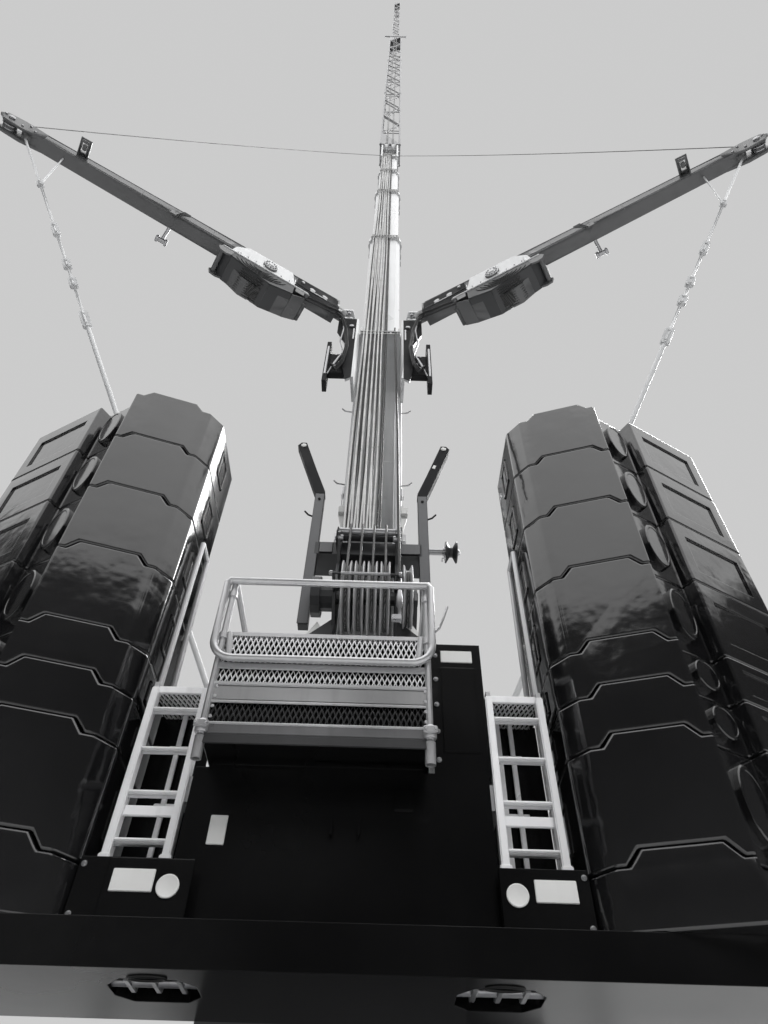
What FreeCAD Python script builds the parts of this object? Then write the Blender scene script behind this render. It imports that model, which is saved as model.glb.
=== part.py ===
import FreeCAD
import Part
import math
import os

# All-terrain crane rigged with a twin guying frame, as a 1:10 scale model: 100 mm here is one metre of the crane.
# Lengths are in millimetres. +Y is forward, +X is the right-hand side, +Z is up and z = 0 is the floor.
# The pieces are placed about the slewing axis, and put() moves them to the centre of the footprint.

V = FreeCAD.Vector
Z_AXIS = V(0, 0, 1)
GAP = 0.3              # seat between pieces of different nodes
SLIDE = 0.5            # play of beams and doors that slide
PIN_PLAY = 0.2         # least play of a pin in its hole

# Carrier
CARRIER_FRONT = 1045.0
CARRIER_REAR = -578.2
CARRIER_HALF = 150.0
FRAME_HALF = 45.0
FRAME_BOTTOM = 100.0
FRAME_TOP = 160.0
DECK_BOTTOM = 166.0
DECK_THICK = 8.0
DECK_TOP = DECK_BOTTOM + DECK_THICK

# Wheels: (distance ahead of the slewing axis, steering in degrees at full lock)
AXLES = (
    (790.0, 30.0),
    (625.0, 24.0),
    (365.0, 13.5),
    (200.0, 0.0),
    (35.0, -7.5),
    (-130.0, -15.0),
    (-295.0, -24.0),
)
TYRE_RADIUS = 74.5
TYRE_WIDTH = 44.0
RIM_RADIUS = 36.0
WHEEL_X = 128.0
WHEEL_Z = 84.5
WHEEL_SIDES = 16
KINGPIN_X = 100.0
KINGPIN_RADIUS = 7.0
YOKE_HALF = 16.0
STUB_RADIUS = 8.0

# Outriggers: (name, centre of the box along Y)
OUTRIGGERS = (("front", 492.5), ("rear", -427.0))
BOX_HALF_Y = 37.5
BOX_BOTTOM = 98.0
BOX_TOP = 152.0
BEAM_WIDTH = 32.0
BEAM_HEIGHT = 42.0
BEAM_INNER = 95.0
JACK_X = 412.0
JACK_TUBE_RADIUS = 16.5
JACK_ROD_RADIUS = 9.0
JACK_TOP = 172.0
JACK_TUBE_BOTTOM = 86.0
PAD_RADIUS = 34.0
PAD_THICK = 7.0

# Driver's cab
CAB_REAR = 802.0
CAB_HALF = 132.0
CAB_BOTTOM = 72.0
CAB_TOP = 286.0
CAB_WALL = 4.0
CAB_ARCH_FRONT = 886.0
CAB_CHAMFER = (16.0, 34.0)     # corner cut off the front, across and along
DOOR_FRONT = 992.0
DOOR_REAR = 905.0
DOOR_BOTTOM = 104.0
DOOR_TOP = 272.0
DOOR_PLAY = 1.0

# Engine
HOOD_REAR = 604.0
HOOD_FRONT = 792.0
HOOD_HALF = 104.0
HOOD_TOP = 262.0
HOOD_WALL = 3.0
ENGINE_HALF = 45.0
ENGINE_REAR = 630.0
ENGINE_FRONT = 770.0
ENGINE_BOTTOM = DECK_BOTTOM + GAP
ENGINE_TOP = 250.0

# Slewing ring and superstructure
RING_RADIUS = 112.0
RING_BOTTOM = DECK_TOP
RING_SPLIT = 200.0
UPPER_BOTTOM = 214.0
UPPER_TOP = 250.0
UPPER_FRONT = 172.0
UPPER_HALF = 75.0
CHEEK_INNER = 62.0
HOUSING_SIDE = 138.0
HOUSING_TOP = 306.0
HOUSING_REAR = -340.0
HOUSING_FRONT = 96.0
CHEEK_OUTER = 70.0
FOOT_Y = -108.0
FOOT_Z = 375.0
FOOT_PIN_RADIUS = 12.0
DRUM_Y = -330.0
DRUM_Z = 290.0
DRUM_RADIUS = 24.0
DRUM_FLANGE = 32.0
DRUM_PIN = 8.0
DRUM_HALF = 54.0

# Counterweight: base plate, middle block and two stacks of slabs
PLATE_BOTTOM = 255.0
PLATE_THICK = 22.0
PLATE_TOP = PLATE_BOTTOM + PLATE_THICK
PLATE_REAR = -527.0
PLATE_FRONT = -438.0
UPPER_REAR = PLATE_FRONT + GAP
PLATE_HALF = 330.0
BLOCK_HALF = 90.0
BLOCK_REAR = -500.0
BLOCK_TOP = 371.0
CABINET_LEFT = 57.0
CABINET_RIGHT = 92.0
CABINET_TOP = 470.0
CABINET_FRONT = -445.0
SLAB_FULL = 69.0
SLAB_HALF = 35.0
SLAB_FOOT = 32.0
SLABS = (SLAB_FOOT, SLAB_FULL, SLAB_HALF, SLAB_HALF, SLAB_FULL, SLAB_FULL, SLAB_FULL, SLAB_FULL)
# Outline of a right-hand slab seen from above, from the inner front corner round the rear to the outer side
SLAB_PLAN = (
    (138.0, -440.0), (138.0, -508.0), (149.0, -522.0), (216.0, -543.0), (221.0, -530.0),
    (247.0, -516.0), (253.0, -526.0), (325.0, -487.0), (338.0, -468.0), (338.0, -440.0),
)
TONGUE_X = 183.0
TONGUE_FOOT = 27.0
TONGUE_HEAD = 20.0
TONGUE_HEIGHT = 9.0
TONGUE_FRONT = -490.0
PANEL_DEPTH = 1.5
POCKET_X = 86.0
POCKET_Y = -492.0

# Access at the rear
WALK_LEFT = -84.0
WALK_RIGHT = 54.0
WALK_REAR = -535.0
WALK_FRONT = -455.0
WALK_FLOOR = 380.0
RAIL_TOP = 493.0
RAIL_MID = 427.0
TUBE_RADIUS = 2.2
LADDER_X = 112.0
LADDER_HALF = 17.0
LADDER_Y = -496.0
LADDER_FOOT = 313.0
LADDER_TOP = 430.0
RUNG_STEP = 28.5
PANEL_TOP = 312.0

# Crane cab
CRANE_CAB_LEFT = -155.0
CRANE_CAB_RIGHT = -81.0
CRANE_CAB_REAR = -8.0
CRANE_CAB_FRONT = 178.0
CRANE_CAB_BOTTOM = 220.0
CRANE_CAB_TOP = 384.0
CRANE_CAB_WALL = 3.5
TILT_Y = -16.0
TILT_Z = 232.0

# Boom: it stands at this angle, and lengths along it are from the foot pin
BOOM_ANGLE = 89.0
BOOM_WIDTH = 95.0
BOOM_DEPTH = 116.0
BOOM_BACK = -BOOM_DEPTH / 2
BOOM_WALL = 3.0
BOOM_STEP = 4.5        # wall and play taken from each side by the next section
BOOM_CORNER = 20.0
COLLAR_GROW = 4.0
COLLAR_LENGTH = 14.0
BASE_START = 95.0
ARM_ALONG = 1230.0
BASE_END = ARM_ALONG + 25.0
# Telescoping sections: (lower end, upper end)
SECTIONS = ((BASE_START, BASE_END), (690.0, 1875.0), (1185.0, 2335.0), (1495.0, 2595.0), (1765.0, 2815.0))
HEAD_END = 3010.0
LATTICE_WIDTH = 86.0
LATTICE_END = 6210.0
LATTICE_WALL = 6.0
LATTICE_BAYS = 18
TOP_WIDTH = 60.0
TOP_START = 6290.0
TOP_END = 8890.0
TOP_BAYS = 16
TIP_SHEAVE_Y = 40.0
TIP_SHEAVE_RADIUS = 24.0
TIP_RISE = 34.0
HOOK_ROPE = 120.0
ROPE_RADIUS = 1.2

# Sheave group on the boom's back
SHEAVE_ALONG = 392.0
SHEAVE_Y = BOOM_BACK - 51.0
SHEAVE_RADIUS = 48.0
SHEAVE_WIDTH = 13.0
SHEAVE_PITCH = 16.5
SHEAVE_PLATE_X = 38.0
SIDE_SHEAVE_X = 54.0
BEAM_ALONG = 480.0
BEAM_REACH = 76.0
HORN_X = 72.0
HORN_BEND = 618.0
HORN_TOP = 748.0
HORN_LEAN = 42.0
ARM_PULLEY_X = 118.0

# Luffing cylinder
CYLINDER_Y = 145.0
CYLINDER_Z = 272.0
CYLINDER_PIN = 6.0
LUG_ALONG = 760.0
LUG_OUT = 78.0
BARREL_RADIUS = 19.0
ROD_RADIUS = 12.0
BARREL_LENGTH = 470.0

# Guying arms: hinge on the boom base's end, length and angle back from square
ARM_ROOT_X = 77.0
ARM_ROOT_Y = -103.0
ARM_LENGTH = 728.0
ARM_SWEEP = 30.5
ARM_WIDTH_ROOT = 38.0
ARM_WIDTH_TIP = 26.0
ARM_DEPTH_ROOT = 42.0
ARM_DEPTH_TIP = 26.0
ARM_WINCH_AT = 204.0
ARM_WINCH_RADIUS = 22.0
ARM_WINCH_Y = 22.0
ARM_WINCH_Z = -67.0
ARM_FLANGE_Z = -42.0
ARM_COVER_Y = -21.0
ARM_HOUSING_HALF = 28.0
ARM_PLATE = 4.0
ARM_REST_AT = 407.0
ARM_LAMP_AT = 594.0
STAY_FOOT_X = 75.0
STAY_FOOT_ALONG = 55.0
STAY_TOP_AT = 686.0
STAY_TOP_DROP = 24.0
STAY_RADIUS = 2.6
# Links along a stay: (share of its length, half length, half width)
STAY_LINKS = ((0.775, 16.0, 6.0), (0.868, 9.0, 5.5), (0.888, 9.0, 5.5), (0.922, 14.0, 5.0), (0.965, 4.0, 5.0))
HANGER_DROP = 270.0
HANGER_BAR_X = 97.0


def box(x, y, z):
    """Block between pairs of limits along X, Y and Z."""
    return Part.makeBox(x[1] - x[0], y[1] - y[0], z[1] - z[0], V(x[0], y[0], z[0]))


def plate_x(points, x0, x1):
    """Outline in Y and Z, drawn out from x0 to x1."""
    wire = Part.makePolygon([V(x0, y, z) for y, z in points] + [V(x0, *points[0])])
    return Part.Face(wire).extrude(V(x1 - x0, 0, 0))


def plate_y(points, y0, y1):
    """Outline in X and Z, drawn out from y0 to y1."""
    ring = [V(x, y0, z) for x, z in points]
    return Part.Face(Part.makePolygon(ring + ring[:1])).extrude(V(0, y1 - y0, 0))


def plate_z(points, z0, z1):
    """Outline in X and Y, drawn out from z0 to z1."""
    ring = [V(x, y, z0) for x, y in points]
    return Part.Face(Part.makePolygon(ring + ring[:1])).extrude(V(0, 0, z1 - z0))


def rod(start, end, radius):
    """Round bar between two points."""
    return Part.makeCylinder(radius, (end - start).Length, start, end - start)


def bar(start, end, radius, sides=12):
    """Bar of a regular outline between two points, for small shafts and tubes."""
    along = end - start
    side = along.cross(Z_AXIS if abs(along.z) < 0.9 * along.Length else V(1, 0, 0)).normalize()
    other = along.cross(side).normalize()
    ring = []
    for n in range(sides):
        turn = 2 * math.pi * (n + 0.5) / sides
        ring.append(start + side * (radius * math.cos(turn)) + other * (radius * math.sin(turn)))
    return Part.Face(Part.makePolygon(ring + ring[:1])).extrude(along)


def bore(start, end, pin_radius, sides=12):
    """Hole of a regular outline, wide enough for a faceted pin to turn in."""
    return bar(start, end, (pin_radius + PIN_PLAY) / math.cos(math.pi / sides), sides)


def facets(rings):
    """Closed solid with flat faces between regular rings of points, each ring round the same axis."""
    faces = [Part.Face(Part.makePolygon(ring + ring[:1])) for ring in (rings[0], rings[-1])]
    for low, high in zip(rings, rings[1:]):
        for n in range(len(low)):
            m = (n + 1) % len(low)
            faces.append(Part.Face(Part.makePolygon([low[n], low[m], high[m], high[n], low[n]])))
    solid = Part.Solid(Part.Shell(faces))
    if solid.Volume < 0:
        solid.reverse()
    return solid


def turned_x(outline, sides):
    """Turned piece about the X axis from (x, radius) pairs, with flat facets round."""
    turns = [2 * math.pi * (n + 0.5) / sides for n in range(sides)]
    return facets([[V(x, r * math.cos(t), r * math.sin(t)) for t in turns] for x, r in outline])


def turned_z(outline, sides, x=0.0, y=0.0):
    """Turned piece about an upright axis from (z, radius) pairs, with flat facets round."""
    turns = [2 * math.pi * (n + 0.5) / sides for n in range(sides)]
    return facets([[V(x + r * math.cos(t), y + r * math.sin(t), z) for t in turns] for z, r in outline])


def mirror(shape):
    """The same piece on the other side of the crane."""
    return shape.mirror(V(0, 0, 0), V(1, 0, 0))


def fuse(pieces):
    return pieces[0].fuse(pieces[1:]).removeSplitter() if len(pieces) > 1 else pieces[0]


def put(name, *pieces):
    """Writes one node, moved from the slewing axis to the centre of the footprint."""
    shape = Part.makeCompound(list(pieces)) if len(pieces) > 1 else pieces[0].copy()
    shape.translate(V(0, -(CARRIER_FRONT + CARRIER_REAR) / 2, 0))
    shape.exportStep("parts/" + name + ".step")


def in_boom(shape):
    """Turns a piece drawn upright at the foot pin to the boom's angle and place."""
    shape.rotate(V(0, 0, 0), V(1, 0, 0), BOOM_ANGLE - 90)
    shape.translate(V(0, FOOT_Y, FOOT_Z))
    return shape


def outrigger_side(index, side):
    """Centre along Y of the left (-1) or right (+1) beam, which lie side by side in one box."""
    return OUTRIGGERS[index][1] + side * (BOX_HALF_Y - BEAM_WIDTH / 2 - 2.5)


def chassis_frame():
    pieces = [
        box((-FRAME_HALF, FRAME_HALF), (CARRIER_REAR + 8, CAB_ARCH_FRONT - 2), (FRAME_BOTTOM, FRAME_TOP)),
        box((-FRAME_HALF - 16, FRAME_HALF + 16), (CARRIER_REAR + 8, CAB_ARCH_FRONT - 2), (FRAME_TOP, DECK_BOTTOM)),
        box((-FRAME_HALF, FRAME_HALF), (CAB_ARCH_FRONT - 16, CAB_ARCH_FRONT - 2), (40, FRAME_TOP)),
        box((-FRAME_HALF, FRAME_HALF), (CAB_ARCH_FRONT - 16, CARRIER_FRONT - 20), (40, CAB_BOTTOM - GAP)),
        box((-CARRIER_HALF + 4, CARRIER_HALF - 4), (CARRIER_REAR, CARRIER_REAR + 12), (84, DECK_BOTTOM)),
        box((-CAB_HALF + 4, CAB_HALF - 4), (CARRIER_FRONT - 22, CARRIER_FRONT), (48, CAB_BOTTOM - GAP)),
    ]
    channels = []
    for index, (name, centre) in enumerate(OUTRIGGERS):
        y = (centre - BOX_HALF_Y, centre + BOX_HALF_Y)
        pieces.append(box((-CARRIER_HALF + 2, CARRIER_HALF - 2), y, (BOX_BOTTOM, BOX_TOP)))
        for side in (-1, 1):
            middle = outrigger_side(index, side)
            reach = BEAM_WIDTH / 2 + SLIDE
            z_mid = (BOX_BOTTOM + BOX_TOP) / 2
            channels.append(box(
                (-CARRIER_HALF, CARRIER_HALF), (middle - reach, middle + reach),
                (z_mid - BEAM_HEIGHT / 2 - SLIDE, z_mid + BEAM_HEIGHT / 2 + SLIDE),
            ))
    frame = fuse(pieces).cut(channels)
    ring = turned_z(((RING_BOTTOM + GAP, RING_RADIUS), (RING_SPLIT, RING_RADIUS)), 32)
    neck = turned_z(((DECK_BOTTOM - 1, RING_RADIUS - 8), (RING_BOTTOM + 2, RING_RADIUS - 8)), 32)
    table = box((-RING_RADIUS, RING_RADIUS), (-104, 104), (FRAME_TOP, DECK_BOTTOM))
    put("chassis_frame", fuse([frame, table, neck, ring]))


def carrier_deck():
    deck = box((-CARRIER_HALF, CARRIER_HALF), (CARRIER_REAR, HOOD_FRONT + 6), (DECK_BOTTOM + GAP, DECK_TOP))
    lips = [
        box(sorted((side * (CARRIER_HALF - 3), side * CARRIER_HALF)), (CARRIER_REAR, HOOD_FRONT + 6),
            (DECK_BOTTOM - 4, DECK_BOTTOM + 1))
        for side in (-1, 1)
    ]
    hood = box((-HOOD_HALF, HOOD_HALF), (HOOD_REAR, HOOD_FRONT), (DECK_TOP - 1, HOOD_TOP))
    inside = box(
        (-HOOD_HALF + HOOD_WALL, HOOD_HALF - HOOD_WALL), (HOOD_REAR + HOOD_WALL, HOOD_FRONT - HOOD_WALL),
        (DECK_BOTTOM - 5, HOOD_TOP - HOOD_WALL),
    )
    grilles = [
        box((-HOOD_HALF - 1, HOOD_HALF + 1), (y, y + 6), (DECK_TOP + 30, HOOD_TOP - 14))
        for y in range(int(HOOD_REAR) + 40, int(HOOD_FRONT) - 40, 13)
    ]
    ring_hole = turned_z(((DECK_BOTTOM - 5, RING_RADIUS - 7), (DECK_TOP + 5, RING_RADIUS - 7)), 32)
    put("carrier_deck", fuse([deck] + lips + [hood]).cut([inside, ring_hole] + grilles))
    put("engine_block", box((-ENGINE_HALF, ENGINE_HALF), (ENGINE_REAR, ENGINE_FRONT), (ENGINE_BOTTOM, ENGINE_TOP)))


def axle_beams():
    beams = []
    for y, lock in AXLES:
        inner = KINGPIN_X - 10
        yoke_outer = YOKE_HALF + 6
        pieces = [box((-inner, inner), (y - 8, y + 8), (WHEEL_Z - 9, WHEEL_Z + 9))]
        for side in (-1, 1):
            if lock:
                web = sorted((side * (inner - 8), side * inner))
                arm = sorted((side * (inner - 8), side * (KINGPIN_X + 6)))
                pieces.append(box(web, (y - 8, y + 8), (WHEEL_Z - yoke_outer, WHEEL_Z + yoke_outer)))
                pieces.append(box(arm, (y - 8, y + 8), (WHEEL_Z + YOKE_HALF, WHEEL_Z + yoke_outer)))
                pieces.append(box(arm, (y - 8, y + 8), (WHEEL_Z - yoke_outer, WHEEL_Z - YOKE_HALF)))
            else:
                pieces.append(bar(V(side * (inner - 1), y, WHEEL_Z), V(side * (WHEEL_X + 8), y, WHEEL_Z), STUB_RADIUS, 8))
        for side in (-1, 1):
            x = side * (FRAME_HALF - 10)
            pieces.append(box((x - 7, x + 7), (y - 10, y + 10), (WHEEL_Z + 8, FRAME_BOTTOM - GAP)))
        beams.append(fuse(pieces))
    put("axle_beams", *beams)


def wheel_and_knuckle():
    """Wheels with a tyre of a few flat facets round, a dished rim and a hub; the knuckles that carry them."""
    half = TYRE_WIDTH / 2
    body = turned_x(((-half, TYRE_RADIUS - 12), (-half + 6, TYRE_RADIUS), (half - 6, TYRE_RADIUS),
                     (half, TYRE_RADIUS - 12)), WHEEL_SIDES)
    inner_cup = turned_x(((-half - 1, RIM_RADIUS), (-4, RIM_RADIUS - 4)), 12)
    outer_cup = turned_x(((4, RIM_RADIUS - 12), (half + 1, RIM_RADIUS)), 12)
    hub = bar(V(-6, 0, 0), V(14, 0, 0), 15, 12)
    centre = bore(V(-8, 0, 0), V(9, 0, 0), STUB_RADIUS, 8)
    wheel = body.cut([inner_cup, outer_cup]).fuse(hub).cut(centre)
    for index, (y, lock) in enumerate(AXLES, 1):
        for side, word in ((-1, "left"), (1, "right")):
            placed = wheel.copy() if side > 0 else mirror(wheel)
            placed.translate(V(side * WHEEL_X, y, WHEEL_Z))
            put("wheel_%d_%s" % (index, word), placed)
            if not lock:
                continue
            post = bar(V(0, 0, -YOKE_HALF + SLIDE), V(0, 0, YOKE_HALF - SLIDE), KINGPIN_RADIUS, 8)
            stub = bar(V(0, 0, 0), V(WHEEL_X - KINGPIN_X + 8, 0, 0), STUB_RADIUS, 8)
            drum = bar(V(9, 0, 0), V(WHEEL_X - KINGPIN_X - 8, 0, 0), YOKE_HALF - 1, 8)
            knuckle = fuse([post, stub, drum])
            knuckle = knuckle if side > 0 else mirror(knuckle)
            knuckle.translate(V(side * KINGPIN_X, y, WHEEL_Z))
            put("knuckle_%d_%s" % (index, word), knuckle)


def outriggers():
    z_mid = (BOX_BOTTOM + BOX_TOP) / 2
    z = (z_mid - BEAM_HEIGHT / 2, z_mid + BEAM_HEIGHT / 2)
    for index, (name, centre) in enumerate(OUTRIGGERS):
        for side, word in ((-1, "left"), (1, "right")):
            y = outrigger_side(index, side)
            across = (y - BEAM_WIDTH / 2, y + BEAM_WIDTH / 2)
            beam = box(sorted((side * BEAM_INNER, side * (JACK_X + 6))), across, z)
            tube = turned_z(((JACK_TUBE_BOTTOM, JACK_TUBE_RADIUS), (JACK_TOP, JACK_TUBE_RADIUS)), 16, side * JACK_X, y)
            hollow = turned_z(((JACK_TUBE_BOTTOM - 1, JACK_ROD_RADIUS + GAP), (JACK_TOP - 4, JACK_ROD_RADIUS + GAP)),
                              12, side * JACK_X, y)
            put("outrigger_beam_%s_%s" % (name, word), fuse([beam, tube]).cut(hollow))
            leg = turned_z(((0, PAD_RADIUS), (PAD_THICK, PAD_RADIUS), (PAD_THICK + 1, PAD_RADIUS * 0.6),
                            (PAD_THICK + 8, JACK_ROD_RADIUS + 3), (PAD_THICK + 9, JACK_ROD_RADIUS),
                            (JACK_TOP - 60, JACK_ROD_RADIUS)), 12, side * JACK_X, y)
            put("outrigger_jack_%s_%s" % (name, word), leg)


def cab_shell(outline, hollow, across, along, wall, chamfer):
    """Cab wall between two side outlines, with its front corners cut in plan."""
    def plan(inset, bottom, top):
        left, right = across[0] + inset, across[1] - inset
        rear, front = along[0] + inset, along[1] - inset
        cx, cy = chamfer
        return plate_z(((left, rear), (right, rear), (right, front - cy), (right - cx, front), (left + cx, front),
                        (left, front - cy)), bottom, top)

    outer = plate_x(outline, *across).common(plan(0, 0, 500))
    inner = plate_x(hollow, across[0] + wall, across[1] - wall).common(plan(wall, 0, 500))
    return outer.cut(inner)


def driver_cab():
    """Hollow cab over the front overhang, with cut windows and a door each side."""
    outline = (
        (CAB_REAR, DECK_TOP + 6), (CAB_ARCH_FRONT, DECK_TOP + 6), (CAB_ARCH_FRONT, CAB_BOTTOM),
        (CARRIER_FRONT - 12, CAB_BOTTOM), (CARRIER_FRONT, 96), (CARRIER_FRONT, 152),
        (CARRIER_FRONT - 26, CAB_TOP - 10), (CARRIER_FRONT - 44, CAB_TOP), (CAB_REAR, CAB_TOP),
    )
    w = CAB_WALL
    hollow = (
        (CAB_REAR + w, DECK_TOP + 6 + w), (CAB_ARCH_FRONT + w, DECK_TOP + 6 + w), (CAB_ARCH_FRONT + w, CAB_BOTTOM + w),
        (CARRIER_FRONT - 12 - w, CAB_BOTTOM + w), (CARRIER_FRONT - w, 97), (CARRIER_FRONT - w, 152),
        (CARRIER_FRONT - 28 - w, CAB_TOP - w - 8), (CARRIER_FRONT - 46 - w, CAB_TOP - w), (CAB_REAR + w, CAB_TOP - w),
    )
    shell = cab_shell(outline, hollow, (-CAB_HALF, CAB_HALF), (CAB_REAR, CARRIER_FRONT), CAB_WALL, CAB_CHAMFER)
    windscreen = plate_y(((-110, 166), (110, 166), (102, 268), (-102, 268)), CARRIER_FRONT - 40, CARRIER_FRONT + 1)
    lamps = [box((side * 92 - 16, side * 92 + 16), (CARRIER_FRONT - 3, CARRIER_FRONT + 1), (100, 124)) for side in (-1, 1)]
    grille = [box((-60, 60), (CARRIER_FRONT - 2, CARRIER_FRONT + 1), (z, z + 5)) for z in range(100, 150, 10)]
    rear_window = box((-80, 80), (CAB_REAR - 1, CAB_REAR + w + 1), (200, 262))
    rear_quarter = box((-CAB_HALF - 1, CAB_HALF + 1), (CAB_REAR + 20, CAB_REAR + 80), (200, 262))
    door = ((DOOR_REAR, DOOR_BOTTOM), (DOOR_FRONT, DOOR_BOTTOM), (DOOR_FRONT, DOOR_TOP), (DOOR_REAR, DOOR_TOP))
    doorway = plate_x(door, -CAB_HALF - 1, CAB_HALF + 1)
    put("driver_cab", shell.cut([windscreen, rear_window, rear_quarter, doorway] + lamps + grille))
    leaf = ((DOOR_REAR + DOOR_PLAY, DOOR_BOTTOM + DOOR_PLAY), (DOOR_FRONT - GAP, DOOR_BOTTOM + DOOR_PLAY),
            (DOOR_FRONT - GAP, DOOR_TOP - DOOR_PLAY), (DOOR_REAR + DOOR_PLAY, DOOR_TOP - DOOR_PLAY))
    pane = ((DOOR_REAR + 10, 176), (DOOR_FRONT - 10, 176), (DOOR_FRONT - 10, 262), (DOOR_REAR + 10, 262))
    right = plate_x(leaf, CAB_HALF - w, CAB_HALF).cut(plate_x(pane, CAB_HALF - w - 1, CAB_HALF + 1))
    handle = box((CAB_HALF - 1, CAB_HALF + 2), (DOOR_REAR + 8, DOOR_REAR + 22), (158, 162))
    right = fuse([right, handle])
    put("driver_door_right", right)
    put("driver_door_left", mirror(right))


def superstructure():
    ring = turned_z(((RING_SPLIT + GAP, RING_RADIUS), (UPPER_BOTTOM + 1, RING_RADIUS)), 32)
    bed = box((-UPPER_HALF, UPPER_HALF), (UPPER_REAR, UPPER_FRONT), (UPPER_BOTTOM, UPPER_TOP))
    cheek = (
        (60, UPPER_TOP - 1), (60, UPPER_TOP + 16), (-52, 322), (-80, FOOT_Z + 22), (-136, FOOT_Z + 22),
        (-176, 340), (-300, 326), (UPPER_REAR, 326), (UPPER_REAR, UPPER_TOP - 1),
    )
    pieces = [ring, bed]
    holes = []
    for side in (-1, 1):
        pieces.append(plate_x(cheek, *sorted((side * CHEEK_INNER, side * CHEEK_OUTER))))
        pieces.append(bar(V(side * CHEEK_INNER, FOOT_Y, FOOT_Z), V(side * (CHEEK_OUTER + 4), FOOT_Y, FOOT_Z), 20, 16))
    tail = box((-UPPER_HALF, UPPER_HALF), (UPPER_REAR, UPPER_REAR + 12), (UPPER_BOTTOM, 330))
    lugs = []
    for side in (-1, 1):
        x = sorted((side * 24, side * 32))
        lug = ((CYLINDER_Y - 20, UPPER_TOP - 1), (CYLINDER_Y + 20, UPPER_TOP - 1), (CYLINDER_Y + 12, CYLINDER_Z + 12),
               (CYLINDER_Y - 12, CYLINDER_Z + 12))
        lugs.append(plate_x(lug, *x))
    bracket = box((-152, -UPPER_HALF + 1), (-34, -22), (216, TILT_Z + 8))
    eye = box((-152, -146), (-34, -10), (TILT_Z - 8, TILT_Z + 8))
    eye_in = box((-90, -84), (-34, -10), (TILT_Z - 8, TILT_Z + 8))
    housing = plate_y(((UPPER_HALF - 1, UPPER_BOTTOM), (HOUSING_SIDE, UPPER_BOTTOM + 10), (HOUSING_SIDE, HOUSING_TOP - 12),
                       (HOUSING_SIDE - 12, HOUSING_TOP), (UPPER_HALF - 1, HOUSING_TOP)), HOUSING_REAR, HOUSING_FRONT)
    louvres = [box((HOUSING_SIDE - 2, HOUSING_SIDE + 1), (HOUSING_REAR + 20, HOUSING_REAR + 110), (z, z + 4))
               for z in range(int(UPPER_BOTTOM) + 20, int(HOUSING_TOP) - 20, 9)]
    deck = box((-UPPER_HALF - 45, -UPPER_HALF + 1), (HOUSING_REAR, -60), (UPPER_TOP - 8, UPPER_TOP - 4))
    body = fuse(pieces + [tail, bracket, eye, eye_in, housing, deck] + lugs).cut(louvres)
    holes.append(rod(V(-80, FOOT_Y, FOOT_Z), V(80, FOOT_Y, FOOT_Z), FOOT_PIN_RADIUS + PIN_PLAY))
    holes.append(rod(V(-33, CYLINDER_Y, CYLINDER_Z), V(33, CYLINDER_Y, CYLINDER_Z), CYLINDER_PIN + PIN_PLAY))
    holes.append(bore(V(-71, DRUM_Y, DRUM_Z), V(71, DRUM_Y, DRUM_Z), DRUM_PIN, 10))
    put("superstructure_frame", body.cut(holes))
    drum = [
        bar(V(-DRUM_HALF, DRUM_Y, DRUM_Z), V(DRUM_HALF, DRUM_Y, DRUM_Z), DRUM_RADIUS, 16),
        bar(V(-69, DRUM_Y, DRUM_Z), V(69, DRUM_Y, DRUM_Z), DRUM_PIN, 10),
    ]
    for x in (-DRUM_HALF, DRUM_HALF - 4):
        drum.append(bar(V(x, DRUM_Y, DRUM_Z), V(x + 4, DRUM_Y, DRUM_Z), DRUM_FLANGE, 16))
    put("hoist_drum", fuse(drum))


def slab_panel(z, height):
    """Shallow recess in a slab's outer rear face, between two of its plan's corners."""
    (x0, y0), (x1, y1) = SLAB_PLAN[6], SLAB_PLAN[7]
    length = math.hypot(x1 - x0, y1 - y0)
    ux, uy = (x1 - x0) / length, (y1 - y0) / length
    corners = []
    for along, out in ((0.14, 2.0), (0.86, 2.0), (0.86, -PANEL_DEPTH), (0.14, -PANEL_DEPTH)):
        corners.append((x0 + ux * length * along + uy * out, y0 + uy * length * along - ux * out))
    return plate_z(corners, z + 0.2 * height, z + 0.76 * height)


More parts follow.
